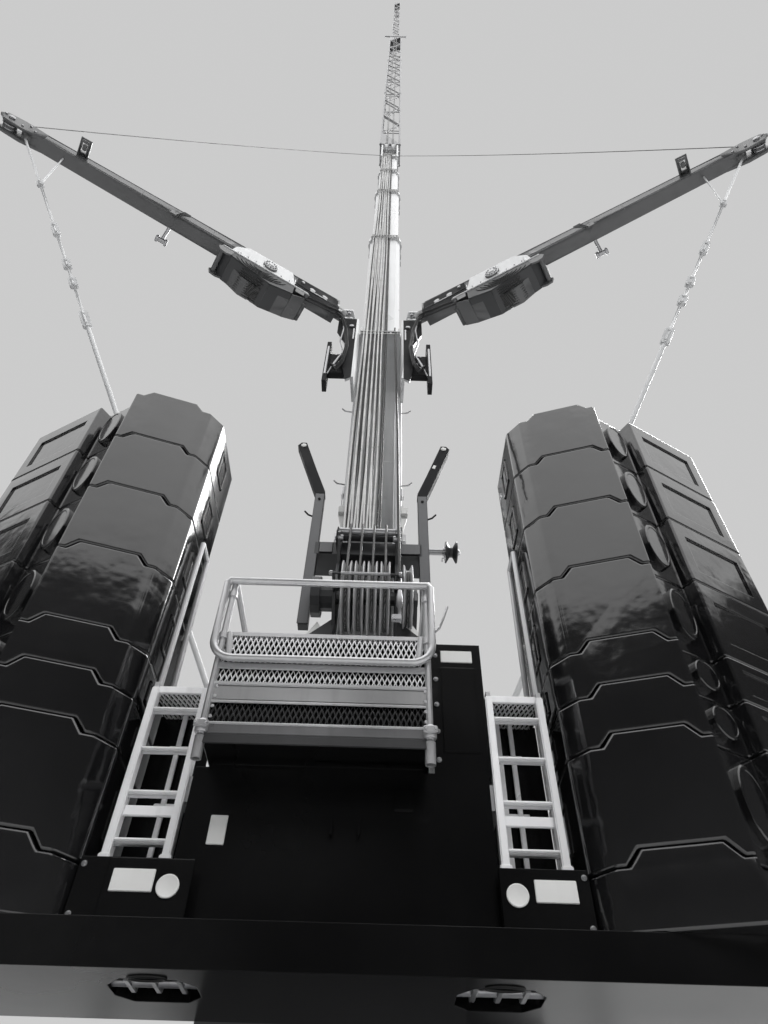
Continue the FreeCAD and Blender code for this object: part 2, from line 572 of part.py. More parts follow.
def counterweight():
    """Base plate with its middle block and cabinet, and two stacks of slabs locked by tongues."""
    outline = (
        (-PLATE_HALF, PLATE_FRONT), (-PLATE_HALF, -482), (-PLATE_HALF + 55, PLATE_REAR),
        (PLATE_HALF - 55, PLATE_REAR), (PLATE_HALF, -482), (PLATE_HALF, PLATE_FRONT),
    )
    plate = plate_z(outline, PLATE_BOTTOM, PLATE_TOP)
    block = box((-BLOCK_HALF, BLOCK_HALF), (BLOCK_REAR, PLATE_FRONT), (PLATE_TOP - 1, BLOCK_TOP))
    cabinet = box((CABINET_LEFT, CABINET_RIGHT), (BLOCK_REAR, CABINET_FRONT), (BLOCK_TOP - 1, CABINET_TOP))
    panels = [
        box(sorted((side * (BLOCK_HALF - 1), side * 137)), (-510, -504), (PLATE_TOP - 1, PANEL_TOP))
        for side in (-1, 1)
    ]
    pockets = [
        plate_z([(x + dx, POCKET_Y + dy) for dx, dy in ((-22, -8), (-14, -19), (14, -19), (22, -8), (22, 9), (14, 19),
                                                        (-14, 19), (-22, 9))], PLATE_BOTTOM - 1, PLATE_BOTTOM + 9)
        for x in (-3 * POCKET_X, -POCKET_X, POCKET_X, 3 * POCKET_X)
    ]
    put("counterweight_base", fuse([plate, block, cabinet] + panels).cut(pockets))

    slabs = []
    z = PLATE_TOP
    for number, height in enumerate(SLABS):
        top = z + height - GAP
        body = plate_z(SLAB_PLAN, z, top)
        raised = plate_y(
            ((TONGUE_X - TONGUE_FOOT, top - 1), (TONGUE_X + TONGUE_FOOT, top - 1),
             (TONGUE_X + TONGUE_FOOT, top), (TONGUE_X + TONGUE_HEAD, top + TONGUE_HEIGHT),
             (TONGUE_X - TONGUE_HEAD, top + TONGUE_HEIGHT), (TONGUE_X - TONGUE_FOOT, top)),
            -560, TONGUE_FRONT,
        ).common(plate_z(SLAB_PLAN, top - 1, top + TONGUE_HEIGHT))
        body = fuse([body, raised]).cut(slab_panel(z, height))
        if number:
            foot, head = TONGUE_FOOT + 1, TONGUE_HEAD + 1
            body = body.cut(plate_y(
                ((TONGUE_X - foot, z - 1), (TONGUE_X + foot, z - 1), (TONGUE_X + foot, z),
                 (TONGUE_X + head, z + TONGUE_HEIGHT), (TONGUE_X - head, z + TONGUE_HEIGHT), (TONGUE_X - foot, z)),
                -560, TONGUE_FRONT + 1,
            ))
        slabs.append(body)
        z += height
    put("counterweight_stacks", *(slabs + [mirror(slab) for slab in slabs]))


def tube_path(points, radius, sides=8):
    """Tube through a few points, its runs overlapping at the bends."""
    return [bar(V(*a), V(*b), radius, sides) for a, b in zip(points, points[1:])]


def rear_access():
    """Walkway over the middle block, its rails, the two ladders and their platforms."""
    left, right, rear = WALK_LEFT, WALK_RIGHT, WALK_REAR
    pieces = [
        box((left, right), (rear, WALK_FRONT), (WALK_FLOOR - 4, WALK_FLOOR)),
        box((left, right), (rear, rear + 3), (WALK_FLOOR - 10, WALK_FLOOR)),
        box((left, right), (rear, rear + 2), (395, 408)),
        box((left, right), (rear, rear + 12), (445, 448)),
        box((left + 4, right - 4), (-496, -460), (BLOCK_TOP + GAP, WALK_FLOOR - 3)),
    ]
    for x in (left + 2, right - 2):
        pieces += tube_path(((x, rear, WALK_FLOOR - 8), (x, rear, RAIL_TOP), (x, WALK_FRONT - 2, RAIL_TOP),
                             (x, WALK_FRONT - 2, WALK_FLOOR - 3)), TUBE_RADIUS)
    pieces += tube_path(((left, rear, RAIL_TOP), (right, rear, RAIL_TOP)), TUBE_RADIUS)
    pieces += tube_path(((left + 6, rear, 447), (left + 8, rear, RAIL_MID), (right - 8, rear, RAIL_MID),
                         (right - 6, rear, 447)), TUBE_RADIUS)
    walkway = fuse(pieces)

    rails = []
    for side in (-1, 1):
        inner, outer = side * (LADDER_X - LADDER_HALF), side * (LADDER_X + LADDER_HALF)
        ladder = [
            box(sorted((x - 1.5, x + 1.5)), (LADDER_Y - 3, LADDER_Y + 3), (LADDER_FOOT, LADDER_TOP + 2))
            for x in (inner, outer)
        ]
        z = LADDER_FOOT + 12
        while z < LADDER_TOP - 8:
            ladder.append(bar(V(inner, LADDER_Y, z), V(outer, LADDER_Y, z), 1.6, 6))
            z += RUNG_STEP
        ladder.append(box(sorted((side * (LADDER_X - LADDER_HALF - 1), side * (LADDER_X + LADDER_HALF + 2))),
                          (LADDER_Y, -460), (LADDER_TOP - 2, LADDER_TOP)))
        ladder.append(box(sorted((side * (BLOCK_HALF + GAP), side * (LADDER_X - LADDER_HALF))),
                          (LADDER_Y - 1, -470), (350, 366)))
        ladder += tube_path(((side * 130, -490, LADDER_TOP - 1), (side * 132, -484, 582), (side * 132, -462, 582),
                             (side * 130, -462, LADDER_TOP - 1)), TUBE_RADIUS)
        rails.append(fuse(ladder))
    put("rear_access", walkway, *rails)


def crane_cab():
    """Crane driver's cab, hollow with cut windows, and its sliding door."""
    w = CRANE_CAB_WALL
    rear, front, low, top = CRANE_CAB_REAR, CRANE_CAB_FRONT, CRANE_CAB_BOTTOM, CRANE_CAB_TOP
    outline = ((rear, low), (front - 30, low), (front, low + 26), (front, 300), (front - 22, top - 8),
               (front - 34, top), (rear, top))
    hollow = ((rear + w, low + w), (front - 31, low + w), (front - w, low + 27), (front - w, 300),
              (front - 24 - w, top - 8 - w), (front - 36, top - w), (rear + w, top - w))
    shell = cab_shell(outline, hollow, (CRANE_CAB_LEFT, CRANE_CAB_RIGHT), (rear, front), w, (8.0, 20.0))
    middle = (CRANE_CAB_LEFT + CRANE_CAB_RIGHT) / 2
    panes = [
        box((middle - 30, middle + 30), (front - 34, front + 1), (248, 370)),
        box((middle - 24, middle + 24), (front - 100, front - 44), (top - w - 1, top + 1)),
        box((middle - 28, middle + 28), (rear - 1, rear + w + 1), (300, 370)),
        box((CRANE_CAB_RIGHT - w - 1, CRANE_CAB_RIGHT + 1), (24, 146), (270, 372)),
        box((CRANE_CAB_LEFT - 1, CRANE_CAB_LEFT + w + 1), (8, 60), (270, 372)),
    ]
    doorway = box((CRANE_CAB_LEFT - 1, CRANE_CAB_LEFT + w + 1), (70, 144), (low + 10, 372))
    ears = [
        box((x - 2, x + 2), (TILT_Y - 4, rear + 1), (TILT_Z - 5, TILT_Z + 5)) for x in (-143.7, -92.3)
    ]
    put("crane_cab", fuse([shell.cut(panes + [doorway])] + ears))
    leaf = box((CRANE_CAB_LEFT - w - GAP, CRANE_CAB_LEFT - GAP), (68, 146), (low + 8, 374))
    pane = box((CRANE_CAB_LEFT - w - 1, CRANE_CAB_LEFT), (78, 136), (270, 366))
    put("crane_cab_door", leaf.cut(pane))


def section_bar(width, depth, corner, z0, z1):
    """Boom section of bent plate: a flat back with cut corners and a belly of four bends."""
    hw, hd, r = width / 2, depth / 2, corner
    outline = ((hw, -hd + r * 0.6), (hw - r * 0.6, -hd), (-hw + r * 0.6, -hd), (-hw, -hd + r * 0.6),
               (-hw, hd - r * 1.8), (-hw + r * 0.6, hd - r * 0.5), (-hw + r * 1.6, hd), (hw - r * 1.6, hd),
               (hw - r * 0.6, hd - r * 0.5), (hw, hd - r * 1.8))
    return plate_z(outline, z0, z1)


def boom_sections():
    """Five nested box sections, each with a collar that guides the next."""
    shapes = []
    for index, (low, high) in enumerate(SECTIONS):
        shrink = 2 * BOOM_STEP * index
        width, depth, corner = BOOM_WIDTH - shrink, BOOM_DEPTH - shrink, BOOM_CORNER - index * 2
        outer = section_bar(width, depth, corner, low, high)
        inner = section_bar(width - 2 * BOOM_WALL, depth - 2 * BOOM_WALL, corner - 2, low - 1, high + 1)
        collar = section_bar(width + 2 * COLLAR_GROW, depth + 2 * COLLAR_GROW, corner, high - COLLAR_LENGTH, high)
        tube = outer.cut(inner)
        if index + 1 < len(SECTIONS):
            step = 2 * BOOM_STEP - 2 * GAP
            throat = section_bar(width - step, depth - step, corner - 2, high - COLLAR_LENGTH - 1, high + 1)
        else:
            throat = section_bar(width - 2 * BOOM_WALL, depth - 2 * BOOM_WALL, corner - 2, low, high + 1)
        guide = section_bar(width - BOOM_WALL, depth - BOOM_WALL, corner - 1, high - COLLAR_LENGTH, high)
        shapes.append(fuse([tube, collar, guide]).cut(throat))
    return shapes


def boom():
    base, first, second, third, last = boom_sections()
    foot_outline = (
        (-BOOM_DEPTH / 2 + 6, BASE_START + 8), (-26, -12), (-14, -24), (14, -24), (26, -12),
        (BOOM_DEPTH / 2 - 6, BASE_START + 8),
    )
    foot = [plate_x(foot_outline, *sorted((side * 34, side * 47))) for side in (-1, 1)]
    foot.append(section_bar(BOOM_WIDTH, BOOM_DEPTH, BOOM_CORNER, BASE_START - 6, BASE_START + 8))
    foot.append(rod(V(-70, 0, 0), V(70, 0, 0), FOOT_PIN_RADIUS))
    foot.append(bar(V(-61, 0, 0), V(61, 0, 0), 19, 16))
    half, half_width = BOOM_DEPTH / 2, BOOM_WIDTH / 2
    lug = ((half - 2, LUG_ALONG - 46), (LUG_OUT + 4, LUG_ALONG - 14), (LUG_OUT + 13, LUG_ALONG),
           (LUG_OUT + 4, LUG_ALONG + 14), (half - 2, LUG_ALONG + 60))
    for side in (-1, 1):
        foot.append(plate_x(lug, *sorted((side * 18, side * 27))))
        foot.append(box(sorted((side * 40, side * (STAY_FOOT_X + 4))), (-6, 6), (STAY_FOOT_ALONG - 5, STAY_FOOT_ALONG + 5)))
        sweep = math.radians(ARM_SWEEP)
        low = V(side * STAY_FOOT_X, 0, STAY_FOOT_ALONG)
        top = V(side * (ARM_ROOT_X + STAY_TOP_AT * math.cos(sweep)), ARM_ROOT_Y - STAY_TOP_AT * math.sin(sweep),
                ARM_ALONG - STAY_TOP_DROP)
        foot.append(bar(low, top, STAY_RADIUS, 6))
        run = top - low
        for at, reach, grow in STAY_LINKS:
            middle = low + run * at
            half_link = run * (reach / run.Length)
            foot.append(bar(middle - half_link, middle + half_link, grow, 4))
    bracket = []
    for side in (-1, 1):
        wall = side * (half_width - 1)
        for z in (ARM_ALONG - 22, ARM_ALONG + 16):
            outline = ((wall, -30), (wall, BOOM_BACK + 8), (side * (ARM_ROOT_X - 16), ARM_ROOT_Y - 10),
                       (side * (ARM_ROOT_X + 11), ARM_ROOT_Y - 10), (side * (ARM_ROOT_X + 11), ARM_ROOT_Y + 12),
                       (side * (half_width + 8), -30))
            bracket.append(plate_z(outline, z, z + 6))
        low, high = ARM_ALONG - HANGER_DROP, ARM_ALONG - 21
        web = ((-30, low + 40), (ARM_ROOT_Y - 8, low), (ARM_ROOT_Y - 8, high), (-30, high))
        bracket.append(plate_x(web, *sorted((wall, side * (half_width + 5)))))
        hanger = ((half_width + 4, low), (half_width + 14, low - 10), (half_width + 20, low + 30),
                  (half_width + 22, low + 130), (ARM_ROOT_X + 11, high - 70), (ARM_ROOT_X + 11, high), (half_width + 4, high))
        slot = ((half_width + 9, high - 96), (half_width + 17, high - 96), (half_width + 17, high - 46),
                (half_width + 9, high - 46))
        hanger_y = (ARM_ROOT_Y - 8, ARM_ROOT_Y - 2)
        bracket.append(plate_y([(side * x, z) for x, z in hanger], *hanger_y)
                       .cut(plate_y([(side * x, z) for x, z in slot], ARM_ROOT_Y - 9, ARM_ROOT_Y - 1)))
        bracket.append(box(sorted((side * (half_width + 4), side * (HANGER_BAR_X + 1))),
                           (ARM_ROOT_Y - 4, ARM_ROOT_Y + 8), (low + 20, low + 92)))
        bracket.append(box(sorted((side * HANGER_BAR_X, side * (HANGER_BAR_X + 7))),
                           (ARM_ROOT_Y - 12, ARM_ROOT_Y + 12), (low - 24, low + 130)))
        bracket.append(box(sorted((wall, side * (half_width + 6))), (-50, 30), (ARM_ALONG - 40, ARM_ALONG + 13)))
    clear = section_bar(BOOM_WIDTH - 2 * BOOM_STEP + 2 * GAP, BOOM_DEPTH - 2 * BOOM_STEP + 2 * GAP, BOOM_CORNER - 2,
                        BASE_START + 40, ARM_ALONG + 60)
    base = fuse([base] + foot + [piece.cut(clear) for piece in bracket])
    put("boom_base", in_boom(base))
    for name, shape in (("boom_section_1", first), ("boom_section_2", second), ("boom_section_3", third)):
        put(name, in_boom(shape))

    top = SECTIONS[-1][1]
    width = BOOM_WIDTH - 8 * BOOM_STEP
    head = [box((-width / 2 - 6, width / 2 + 6), (-46, 46), (top - 2, top + 12))]
    for side in (-1, 1):
        cheek = ((-46, top + 10), (46, top + 10), (52, top + 120), (34, HEAD_END), (-34, HEAD_END), (-56, top + 120))
        head.append(plate_x(cheek, *sorted((side * (width / 2 - 2), side * (width / 2 + 4)))))
    head.append(box((-width / 2, width / 2), (-34, 34), (HEAD_END - 10, HEAD_END)))
    for y, z in ((-40, top + 110), (38, top + 110), (0, top + 60)):
        head.append(bar(V(-width / 2 - 6, y, z), V(width / 2 + 6, y, z), 5, 8))
        for x in (-14, 14):
            head.append(bar(V(x - 8, y, z), V(x + 8, y, z), 20, 12))
    put("boom_section_4", in_boom(fuse([last] + head)))


def sheave(radius, x):
    """Grooved pulley about the X axis, with its flanges."""
    half, flange, groove = SHEAVE_WIDTH / 2, 1.6, radius - 8
    outline = ((-half, radius), (flange - half, radius), (-1.5, groove), (1.5, groove), (half - flange, radius),
               (half, radius))
    pulley = turned_x(outline, 12)
    pulley.translate(V(x, SHEAVE_Y, SHEAVE_ALONG))
    return pulley


def rear_sheaves():
    """Sheave group on the boom's back: four pulleys in a frame, a fifth beside it, rollers and two guard horns."""
    back, y, z = BOOM_BACK - GAP, SHEAVE_Y, SHEAVE_ALONG
    pieces = [sheave(SHEAVE_RADIUS, SHEAVE_PITCH * n) for n in (-1.5, -0.5, 0.5, 1.5)]
    pieces.append(sheave(SHEAVE_RADIUS - 4, SIDE_SHEAVE_X))
    pieces.append(bar(V(-BEAM_REACH + 4, y, z), V(SIDE_SHEAVE_X + 14, y, z), 9, 10))
    pieces.append(bar(V(-BEAM_REACH + 6, y, z), V(-SHEAVE_PLATE_X - 20, y, z), 27, 14))
    pieces.append(bar(V(-SHEAVE_PLATE_X - 20, y, z), V(-SHEAVE_PLATE_X, y, z), 19, 14))
    roller_low, roller_high = (y - 22, BEAM_ALONG + 3), (y - 10, BEAM_ALONG + 29)
    cheek = ((back, z - 66), (back, BEAM_ALONG + 24), (y - 4, BEAM_ALONG + 44), (y - 30, BEAM_ALONG + 6),
             (y - 2, BEAM_ALONG - 26), (y - 14, z + 22), (y - 22, z - 12), (y + 8, z - 44))
    for x in (-SHEAVE_PLATE_X - 4, SHEAVE_PLATE_X):
        pieces.append(plate_x(cheek, x, x + 4))
    outer = ((back, z - 40), (back, z + 44), (y - 6, z + 12), (y - 12, z - 12), (y + 8, z - 30))
    pieces.append(plate_x(outer, SIDE_SHEAVE_X + 9, SIDE_SHEAVE_X + 13))
    reach = SHEAVE_PLATE_X + 2
    for (at_y, at_z), radius in ((roller_low, 3), (roller_high, 4.5)):
        pieces.append(bar(V(-reach, at_y, at_z), V(reach, at_y, at_z), radius, 8))
    keeper_y = y - SHEAVE_RADIUS - 3.5
    pieces.append(bar(V(-reach, keeper_y, z - 6), V(reach, keeper_y, z - 6), 1.5, 6))
    for side in (-1, 1):
        pieces.append(box(sorted((side * (reach - 2), side * (reach + 2))), (keeper_y - 2, y - 10), (z - 8, z - 4)))
        gusset = ((side * (SHEAVE_PLATE_X + 2), z - 62), (side * (BEAM_REACH - 2), z - 62), (side * (SHEAVE_PLATE_X + 2), z - 30))
        pieces.append(plate_y(gusset, y + 6, y + 10))
        horn = (
            (HORN_X, z - 40), (HORN_X + 13, z - 40), (HORN_X + 14, HORN_BEND), (HORN_X + HORN_LEAN + 13, HORN_TOP - 6),
            (HORN_X + HORN_LEAN + 8, HORN_TOP), (HORN_X + HORN_LEAN, HORN_TOP), (HORN_X, HORN_BEND + 4),
        )
        pieces.append(plate_y([(side * x, a) for x, a in horn], y + 8, y + 20))
    pieces.append(box((-BEAM_REACH, BEAM_REACH), (y + 6, back), (BEAM_ALONG, BEAM_ALONG + 24)))
    arm_z = BEAM_ALONG + 18
    pieces.append(bar(V(BEAM_REACH, y + 14, arm_z), V(ARM_PULLEY_X + 6, y + 14, arm_z), 2.6, 8))
    pulley = turned_x(((-6, 11), (0, 4.5), (6, 11)), 14)
    pulley.translate(V(ARM_PULLEY_X, y + 14, arm_z))
    pieces.append(pulley)
    put("rear_sheaves", in_boom(fuse(pieces)))


def lattice_run(width, low, high, bays, wall):
    """Square lattice of corner chords and zigzag braces, cut from a hollow square tube."""
    half = width / 2
    tube = box((-half, half), (-half, half), (low, high)).cut(
        box((-half + wall, half - wall), (-half + wall, half - wall), (low - 1, high + 1)))
    pitch = (high - low - 2 * wall) / bays
    inner = half - wall
    slack = wall * 0.9
    cuts = []
    for bay in range(bays):
        z = low + wall + bay * pitch
        side = 1 if bay % 2 else -1
        wide = (-side * inner, z + slack), (-side * inner, z + 2 * pitch - slack)
        tri = wide + ((side * (inner - slack * 0.5), z + pitch),)
        if z + 2 * pitch > high - wall:
            continue
        cuts.append(plate_y(tri, -half - 1, half + 1))
        cuts.append(plate_x(tri, -half - 1, half + 1))
    return tube.cut(cuts)


def lattice():
    """Lattice extension on the boom head, with a pulley box and a slimmer top with the tip pulley."""
    low = HEAD_END + GAP
    main = lattice_run(LATTICE_WIDTH, low, LATTICE_END, LATTICE_BAYS, LATTICE_WALL)
    upper = lattice_run(TOP_WIDTH, TOP_START, TOP_END, TOP_BAYS, LATTICE_WALL - 1)
    half = LATTICE_WIDTH / 2
    neck = box((-half, half), (-half, half), (LATTICE_END - 2, LATTICE_END + 12))
    cross = bar(V(-80, -half, LATTICE_END + 4), V(80, -half, LATTICE_END + 4), 5, 8)
    joint = box((-half + 6, half - 6), (-half + 6, half - 6), (LATTICE_END + 10, TOP_START + 2))
    foot = box((-half, half), (-half, half), (low, low + 10))
    cap = box((-30, 30), (-30, 30), (TOP_END - 2, TOP_END + 14))
    axle_z = TOP_END + TIP_RISE
    tip = [
        plate_x(((-20, TOP_END + 12), (20, TOP_END + 12), (TIP_SHEAVE_Y + 12, axle_z), (TIP_SHEAVE_Y + 12, axle_z + 12),
                 (-20, axle_z + 12)), x, x + 4) for x in (-14, 10)
    ]
    tip.append(bar(V(-16, TIP_SHEAVE_Y, axle_z), V(16, TIP_SHEAVE_Y, axle_z), 5, 8))
    tip.append(bar(V(-4, TIP_SHEAVE_Y, axle_z), V(4, TIP_SHEAVE_Y, axle_z), TIP_SHEAVE_RADIUS, 16))
    put("boom_extension", in_boom(fuse([main, foot, neck, cross, joint, upper, cap] + tip)))

    z = axle_z - HOOK_ROPE
    y = TIP_SHEAVE_Y + TIP_SHEAVE_RADIUS + ROPE_RADIUS + GAP
    rope = [bar(V(0, y, z - 4), V(0, y, axle_z), ROPE_RADIUS, 6)]
    block = bar(V(-12, y, z - 26), V(12, y, z - 26), 25, 16)
    shank = bar(V(0, y, z - 66), V(0, y, z - 46), 6, 8)
    hook = plate_x(((y - 5, z - 62), (y + 5, z - 62), (y + 14, z - 76), (y + 12, z - 92), (y, z - 100), (y - 12, z - 94),
                    (y - 16, z - 82), (y - 9, z - 82), (y - 6, z - 88), (y + 2, z - 91), (y + 6, z - 84), (y + 2, z - 74)),
                   -4, 4)
    put("hook_block", in_boom(fuse(rope + [block, shank, hook])))


def luffing_cylinder():
    """Barrel on the superstructure and rod up to the boom, drawn at the boom's standing angle."""
    lean = math.radians(BOOM_ANGLE)
    eye_y = FOOT_Y + LUG_ALONG * math.cos(lean) + LUG_OUT * math.sin(lean)
    eye_z = FOOT_Z + LUG_ALONG * math.sin(lean) - LUG_OUT * math.cos(lean)
    low, high = V(0, CYLINDER_Y, CYLINDER_Z), V(0, eye_y, eye_z)
    along = (high - low).normalize()
    barrel = fuse([
        bar(low + along * 16, low + along * BARREL_LENGTH, BARREL_RADIUS, 16),
        bar(V(-20, low.y, low.z), V(20, low.y, low.z), 15, 16),
        rod(V(-32, low.y, low.z), V(32, low.y, low.z), CYLINDER_PIN),
        bar(low + along * 8, low + along * 24, 14, 16),
    ]).cut(bar(low + along * 50, low + along * (BARREL_LENGTH + 1), ROD_RADIUS + GAP, 16))
    put("luffing_barrel", barrel)
    reach = (high - low).Length
    start = reach - (BARREL_LENGTH - 24)
    put("luffing_rod", fuse([
        bar(low + along * start, high - along * 8, ROD_RADIUS, 16),
        bar(V(-16, high.y, high.z), V(16, high.y, high.z), 13, 16),
    ]))


def guying_arms():
    """Two box arms on the boom head with a rope winch each, and the stays from their tips to the boom foot."""
    def beam(x0, x1, w0, w1, d0, d1):
        ends = []
        for x, w, d in ((x0, w0, d0), (x1, w1, d1)):
            ring = [V(x, -w / 2, -d / 2), V(x, w / 2, -d / 2), V(x, w / 2, d / 2), V(x, -w / 2, d / 2)]
            ends.append(Part.makePolygon(ring + ring[:1]))
        return Part.makeLoft(ends, True, True)

    at, z = ARM_WINCH_AT, ARM_WINCH_Z
    near, far = ARM_WINCH_Y - ARM_HOUSING_HALF, ARM_WINCH_Y + ARM_HOUSING_HALF
    parts = [
        beam(26, ARM_LENGTH - 30, ARM_WIDTH_ROOT, ARM_WIDTH_TIP, ARM_DEPTH_ROOT, ARM_DEPTH_TIP),
        bar(V(0, 0, -15.5), V(0, 0, 15.5), 10, 10),
        box((-2, 30), (-9, 9), (-13, 13)),
        bar(V(at, near, z), V(at, far, z), ARM_WINCH_RADIUS, 14),
        box((at - 58, at + 40), (ARM_COVER_Y + 7, far - ARM_PLATE), (ARM_FLANGE_Z, -12)),
        box((at - 102, at + 104), (ARM_COVER_Y, far), (ARM_FLANGE_Z, ARM_FLANGE_Z + 3)),
    ]
    belly = ((at - 102, z + 26), (at - 102, z + 5), (at - 72, z - 11), (at - 22, z - 25), (at + 33, z - 23),
             (at + 78, z - 5), (at + 104, z + 21), (at + 104, z + 26))
    inside = [(x + (3 if x < at else -3), level + 3 if level < z + 26 else level + 14) for x, level in belly]
    parts.append(plate_y(belly, near, far).cut(plate_y(inside, near + ARM_PLATE, far - ARM_PLATE))
                 .cut(box((at - 103, at - 96), (near + ARM_PLATE, far - ARM_PLATE), (z - 4, z + 22))))
    raised = ((at - 74, ARM_FLANGE_Z), (at + 74, ARM_FLANGE_Z), (at + 66, -12), (at + 40, 14), (at - 62, 16))
    parts.append(plate_y(raised, ARM_COVER_Y, ARM_COVER_Y + 5))
    parts.append(bar(V(at - 12, ARM_COVER_Y - 4, -18), V(at - 12, ARM_COVER_Y + 1, -18), 16, 12))
    parts.append(bar(V(at - 104, near, z + 12), V(at - 104, far, z + 12), 5.5, 8))
    rest = V(ARM_REST_AT, -12, -12)
    parts += [bar(rest, rest + V(2, -26, -20), 4, 6), bar(rest + V(-6, -27, -22), rest + V(10, -27, -22), 5.5, 8)]
    lamp = box((ARM_LAMP_AT - 8, ARM_LAMP_AT + 8), (-5, 5), (12, 36))
    parts.append(lamp.cut(box((ARM_LAMP_AT - 5, ARM_LAMP_AT + 5), (-6, 6), (19, 33))))
    tip = ARM_LENGTH
    for y in (-14, 9):
        parts.append(plate_y(((tip - 68, -13), (tip - 30, -20), (tip + 4, -16), (tip + 14, -2), (tip + 6, 12),
                              (tip - 24, 17), (tip - 68, 13)), y, y + 5))
    parts.append(bar(V(tip - 6, -12, -2), V(tip - 6, 12, -2), 13, 14))
    parts.append(box((STAY_TOP_AT - 6, STAY_TOP_AT + 6), (-4, 4), (-STAY_TOP_DROP + 2, -10)))
    holes = [plate_y(((x - 9, -5), (x - 4, -9), (x + 4, -9), (x + 9, -5), (x + 9, 1), (x - 9, 1)), -30, 30) for x in (62, 92)]
    arm = fuse(parts).cut(holes)
    for side, word in ((1, "right"), (-1, "left")):
        placed = arm.copy()
        placed.rotate(V(0, 0, 0), Z_AXIS, -ARM_SWEEP)
        placed.translate(V(ARM_ROOT_X, ARM_ROOT_Y, ARM_ALONG))
        if side < 0:
            placed = mirror(placed)
        put("guying_arm_" + word, in_boom(placed))


os.makedirs("parts", exist_ok=True)
chassis_frame()
carrier_deck()
axle_beams()
wheel_and_knuckle()
outriggers()
driver_cab()
superstructure()
counterweight()
rear_access()
crane_cab()
boom()
rear_sheaves()
lattice()
luffing_cylinder()
guying_arms()
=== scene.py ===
"""A guyed telescopic crane on seven axles, built as a model at a tenth of its size and seen from the ground behind it.

Sizes are in millimetres of the model, measured from the slewing axis, and each section's matrix puts them in the row
frame. The boom and its two guying arms have matrices of their own, because their pieces lean with them.
"""

from math import cos, exp, pi, radians, sin

import bmesh
import bpy
from mathutils import Matrix, Vector


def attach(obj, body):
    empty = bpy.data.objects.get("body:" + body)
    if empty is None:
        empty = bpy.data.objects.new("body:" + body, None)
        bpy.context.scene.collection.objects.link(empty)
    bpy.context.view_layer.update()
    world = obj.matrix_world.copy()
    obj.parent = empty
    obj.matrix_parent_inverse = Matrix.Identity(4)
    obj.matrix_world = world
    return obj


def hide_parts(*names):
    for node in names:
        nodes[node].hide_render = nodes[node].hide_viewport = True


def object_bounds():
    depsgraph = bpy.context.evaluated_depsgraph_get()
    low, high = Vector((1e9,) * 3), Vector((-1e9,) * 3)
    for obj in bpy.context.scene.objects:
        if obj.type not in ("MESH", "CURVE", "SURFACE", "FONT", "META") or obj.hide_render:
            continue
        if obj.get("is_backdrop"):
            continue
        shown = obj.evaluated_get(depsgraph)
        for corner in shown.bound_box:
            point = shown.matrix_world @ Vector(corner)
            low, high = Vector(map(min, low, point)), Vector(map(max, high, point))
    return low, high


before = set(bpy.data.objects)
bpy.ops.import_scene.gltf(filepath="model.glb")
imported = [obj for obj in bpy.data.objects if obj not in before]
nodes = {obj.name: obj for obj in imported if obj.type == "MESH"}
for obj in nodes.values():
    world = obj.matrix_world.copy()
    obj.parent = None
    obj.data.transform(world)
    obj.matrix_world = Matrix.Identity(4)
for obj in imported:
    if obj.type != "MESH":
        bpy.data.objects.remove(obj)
cad_low, cad_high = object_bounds()


# Studio: a pale floor and backdrop colour with soft light from above, and the camera low behind the counterweight.
# The eye is 1.5 m up at full size and looks up at the boom, so that the floor is only seen in other views.
EYE = Vector((0.0216, -1.1414, 0.150))
EYE_YAW, EYE_PITCH, EYE_ROLL = radians(-0.08), radians(48.54), radians(1.72)
FOCAL_PIXELS, PICTURE_HEIGHT, SENSOR = 710.0, 1024.0, 36.0
FLOOR_RADIUS = 60.0


def add_node(net, kind, inputs=(), **settings):
    """Adds a node: each input gets a value or a link, and the settings are the node's own."""
    made = net.nodes.new(kind)
    for key, setting in settings.items():
        setattr(made, key, setting)
    for key, value in dict(inputs).items():
        if isinstance(value, bpy.types.NodeSocket):
            net.links.new(value, made.inputs[key])
        else:
            made.inputs[key].default_value = value
    return made


def shader_of(finish):
    """The sockets of a finish's main shader."""
    return finish.node_tree.nodes["Principled BSDF"].inputs


def linked(name, data):
    """New object of the scene."""
    made = bpy.data.objects.new(name, data)
    bpy.context.scene.collection.objects.link(made)
    return made


lens = bpy.data.cameras.new("eye")
lens.lens = SENSOR * FOCAL_PIXELS / PICTURE_HEIGHT
lens.clip_end = 200.0
camera = linked("eye", lens)
camera.matrix_world = (Matrix.Translation(EYE) @ Matrix.Rotation(-EYE_YAW, 4, "Z")
                       @ Matrix.Rotation(pi / 2 + EYE_PITCH, 4, "X") @ Matrix.Rotation(EYE_ROLL, 4, "Z"))
bpy.context.scene.camera = camera
bpy.context.scene.view_settings.view_transform = "Standard"

world = bpy.data.worlds.new("pale_sky")
bpy.context.scene.world = world
world.use_nodes = True
sky = world.node_tree
sky_fill = sky.nodes["Background"]
sky_fill.inputs["Color"].default_value = (0.60, 0.61, 0.62, 1)
sky_fill.inputs["Strength"].default_value = 0.40
sky_seen = add_node(sky, "ShaderNodeBackground", {"Color": (0.60, 0.60, 0.60, 1)})
sky_way = add_node(sky, "ShaderNodeTexCoord").outputs["Generated"]
sky_height = add_node(sky, "ShaderNodeSeparateXYZ", {0: sky_way}).outputs["Z"]
sky_edge = add_node(sky, "ShaderNodeTexNoise", {"Scale": 9.0, "Detail": 5.0, "Vector": sky_way})
sky_rise = add_node(sky, "ShaderNodeMath", {0: sky_edge.outputs["Fac"], 1: 0.22, 2: sky_height},
                    operation="MULTIPLY_ADD")
sky_tone = add_node(sky, "ShaderNodeValToRGB", {0: sky_rise.outputs[0]})
